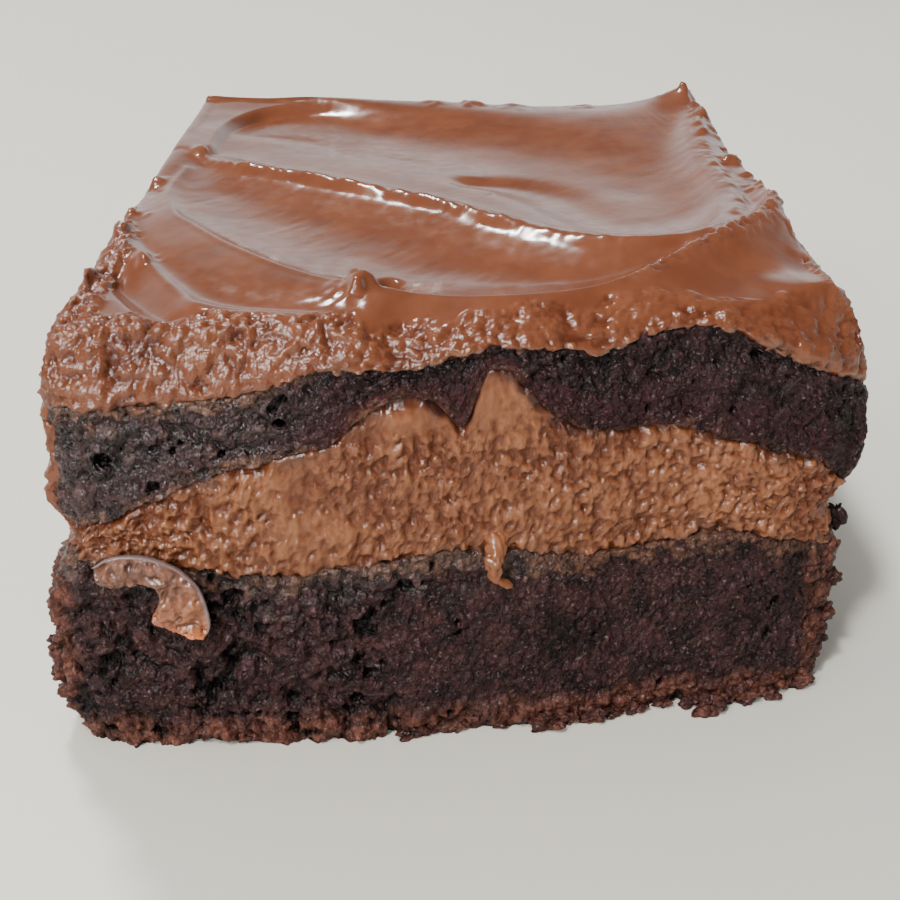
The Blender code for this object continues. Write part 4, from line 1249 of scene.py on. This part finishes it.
def make_floor():
    """Plain pale floor, far wider than the slice."""
    bm = bmesh.new()
    bmesh.ops.create_grid(bm, x_segments=2, y_segments=2, size=3.0)
    mesh = bpy.data.meshes.new("floor")
    bm.to_mesh(mesh)
    bm.free()
    floor = bpy.data.objects.new("floor", mesh)
    bpy.context.scene.collection.objects.link(floor)
    f = Finish("pale_floor", 0.42, 0.35)
    f.set("Base Color", f.mixed(f.noise(60.0, 2.0), shade(222, 219, 208), shade(226, 223, 212)))
    mesh.materials.append(f.material)


def make_light(name, place, size, power, colour=WARM_WHITE, aim_height=0.02, lights=True,
               mirrored=True):
    """Soft light; it can light without a highlight, or show as a highlight alone."""
    light = bpy.data.lights.new(name, "AREA")
    light.shape = "RECTANGLE"
    light.size, light.size_y = size
    light.energy = power
    light.color = colour
    obj = bpy.data.objects.new(name, light)
    obj.location = place
    obj.visible_diffuse = lights
    obj.visible_glossy = mirrored
    towards = Vector((0, 0, aim_height)) - Vector(place)
    obj.rotation_euler = towards.to_track_quat("-Z", "Y").to_euler()
    bpy.context.scene.collection.objects.link(obj)


def make_world():
    """Bright pale wall behind the slice, up to a low height, in a dim room."""
    world = bpy.data.worlds.new("studio")
    world.use_nodes = True
    tree = world.node_tree
    coords = tree.nodes.new("ShaderNodeTexCoord")
    parts = tree.nodes.new("ShaderNodeSeparateXYZ")
    tree.links.new(coords.outputs["Generated"], parts.inputs[0])
    fades = []
    for output, low, high in (("Z", 0.50, 0.18), ("Y", -0.1, 0.45)):
        step = tree.nodes.new("ShaderNodeMapRange")
        step.interpolation_type = "SMOOTHSTEP"
        step.inputs["From Min"].default_value = low
        step.inputs["From Max"].default_value = high
        tree.links.new(parts.outputs[output], step.inputs["Value"])
        fades.append(step.outputs["Result"])
    both = tree.nodes.new("ShaderNodeMath")
    both.operation = "MULTIPLY"
    tree.links.new(fades[0], both.inputs[0])
    tree.links.new(fades[1], both.inputs[1])
    blend = tree.nodes.new("ShaderNodeMix")
    blend.data_type = "RGBA"
    blend.inputs[6].default_value = ROOM
    blend.inputs[7].default_value = PALE_WALL
    tree.links.new(both.outputs[0], blend.inputs[0])
    tree.links.new(blend.outputs[2], tree.nodes["Background"].inputs["Color"])
    bpy.context.scene.world = world


def make_camera():
    """Camera in front of the slice, looking down at it."""
    data = bpy.data.cameras.new("camera")
    data.sensor_width = 36.0
    data.lens = CAMERA_LENS
    data.clip_start = 0.01
    camera = bpy.data.objects.new("camera", data)
    camera.location = (SHIFT_X * MM, (SHIFT_Y + CAMERA_BACK) * MM, CAMERA_HEIGHT * MM)
    camera.rotation_euler = (math.radians(90 - CAMERA_DOWN), 0.0, 0.0)
    bpy.context.scene.collection.objects.link(camera)
    bpy.context.scene.camera = camera


make_floor()
make_light("key", (-0.30, 0.56, 0.84), (0.14, 0.07), 7.5, LAMP_WHITE, aim_height=0.03)
make_light("front_lamp", (-0.35, -0.75, 1.15), (0.12, 0.12), 13.0)
make_light("front_window", (-0.70, -1.15, 0.84), (0.42, 0.42), 14.0)
make_light("glint", (-0.50, -0.90, 1.00), (0.24, 0.24), 22.0, LAMP_WHITE, lights=False)
make_light("low_window", (-0.22, -1.30, 0.50), (0.20, 0.16), 6.0)
make_light("top_fill", (-0.45, 0.05, 1.35), (1.2, 1.2), 10.0, (1.0, 0.985, 0.965), mirrored=False)
make_world()
make_camera()
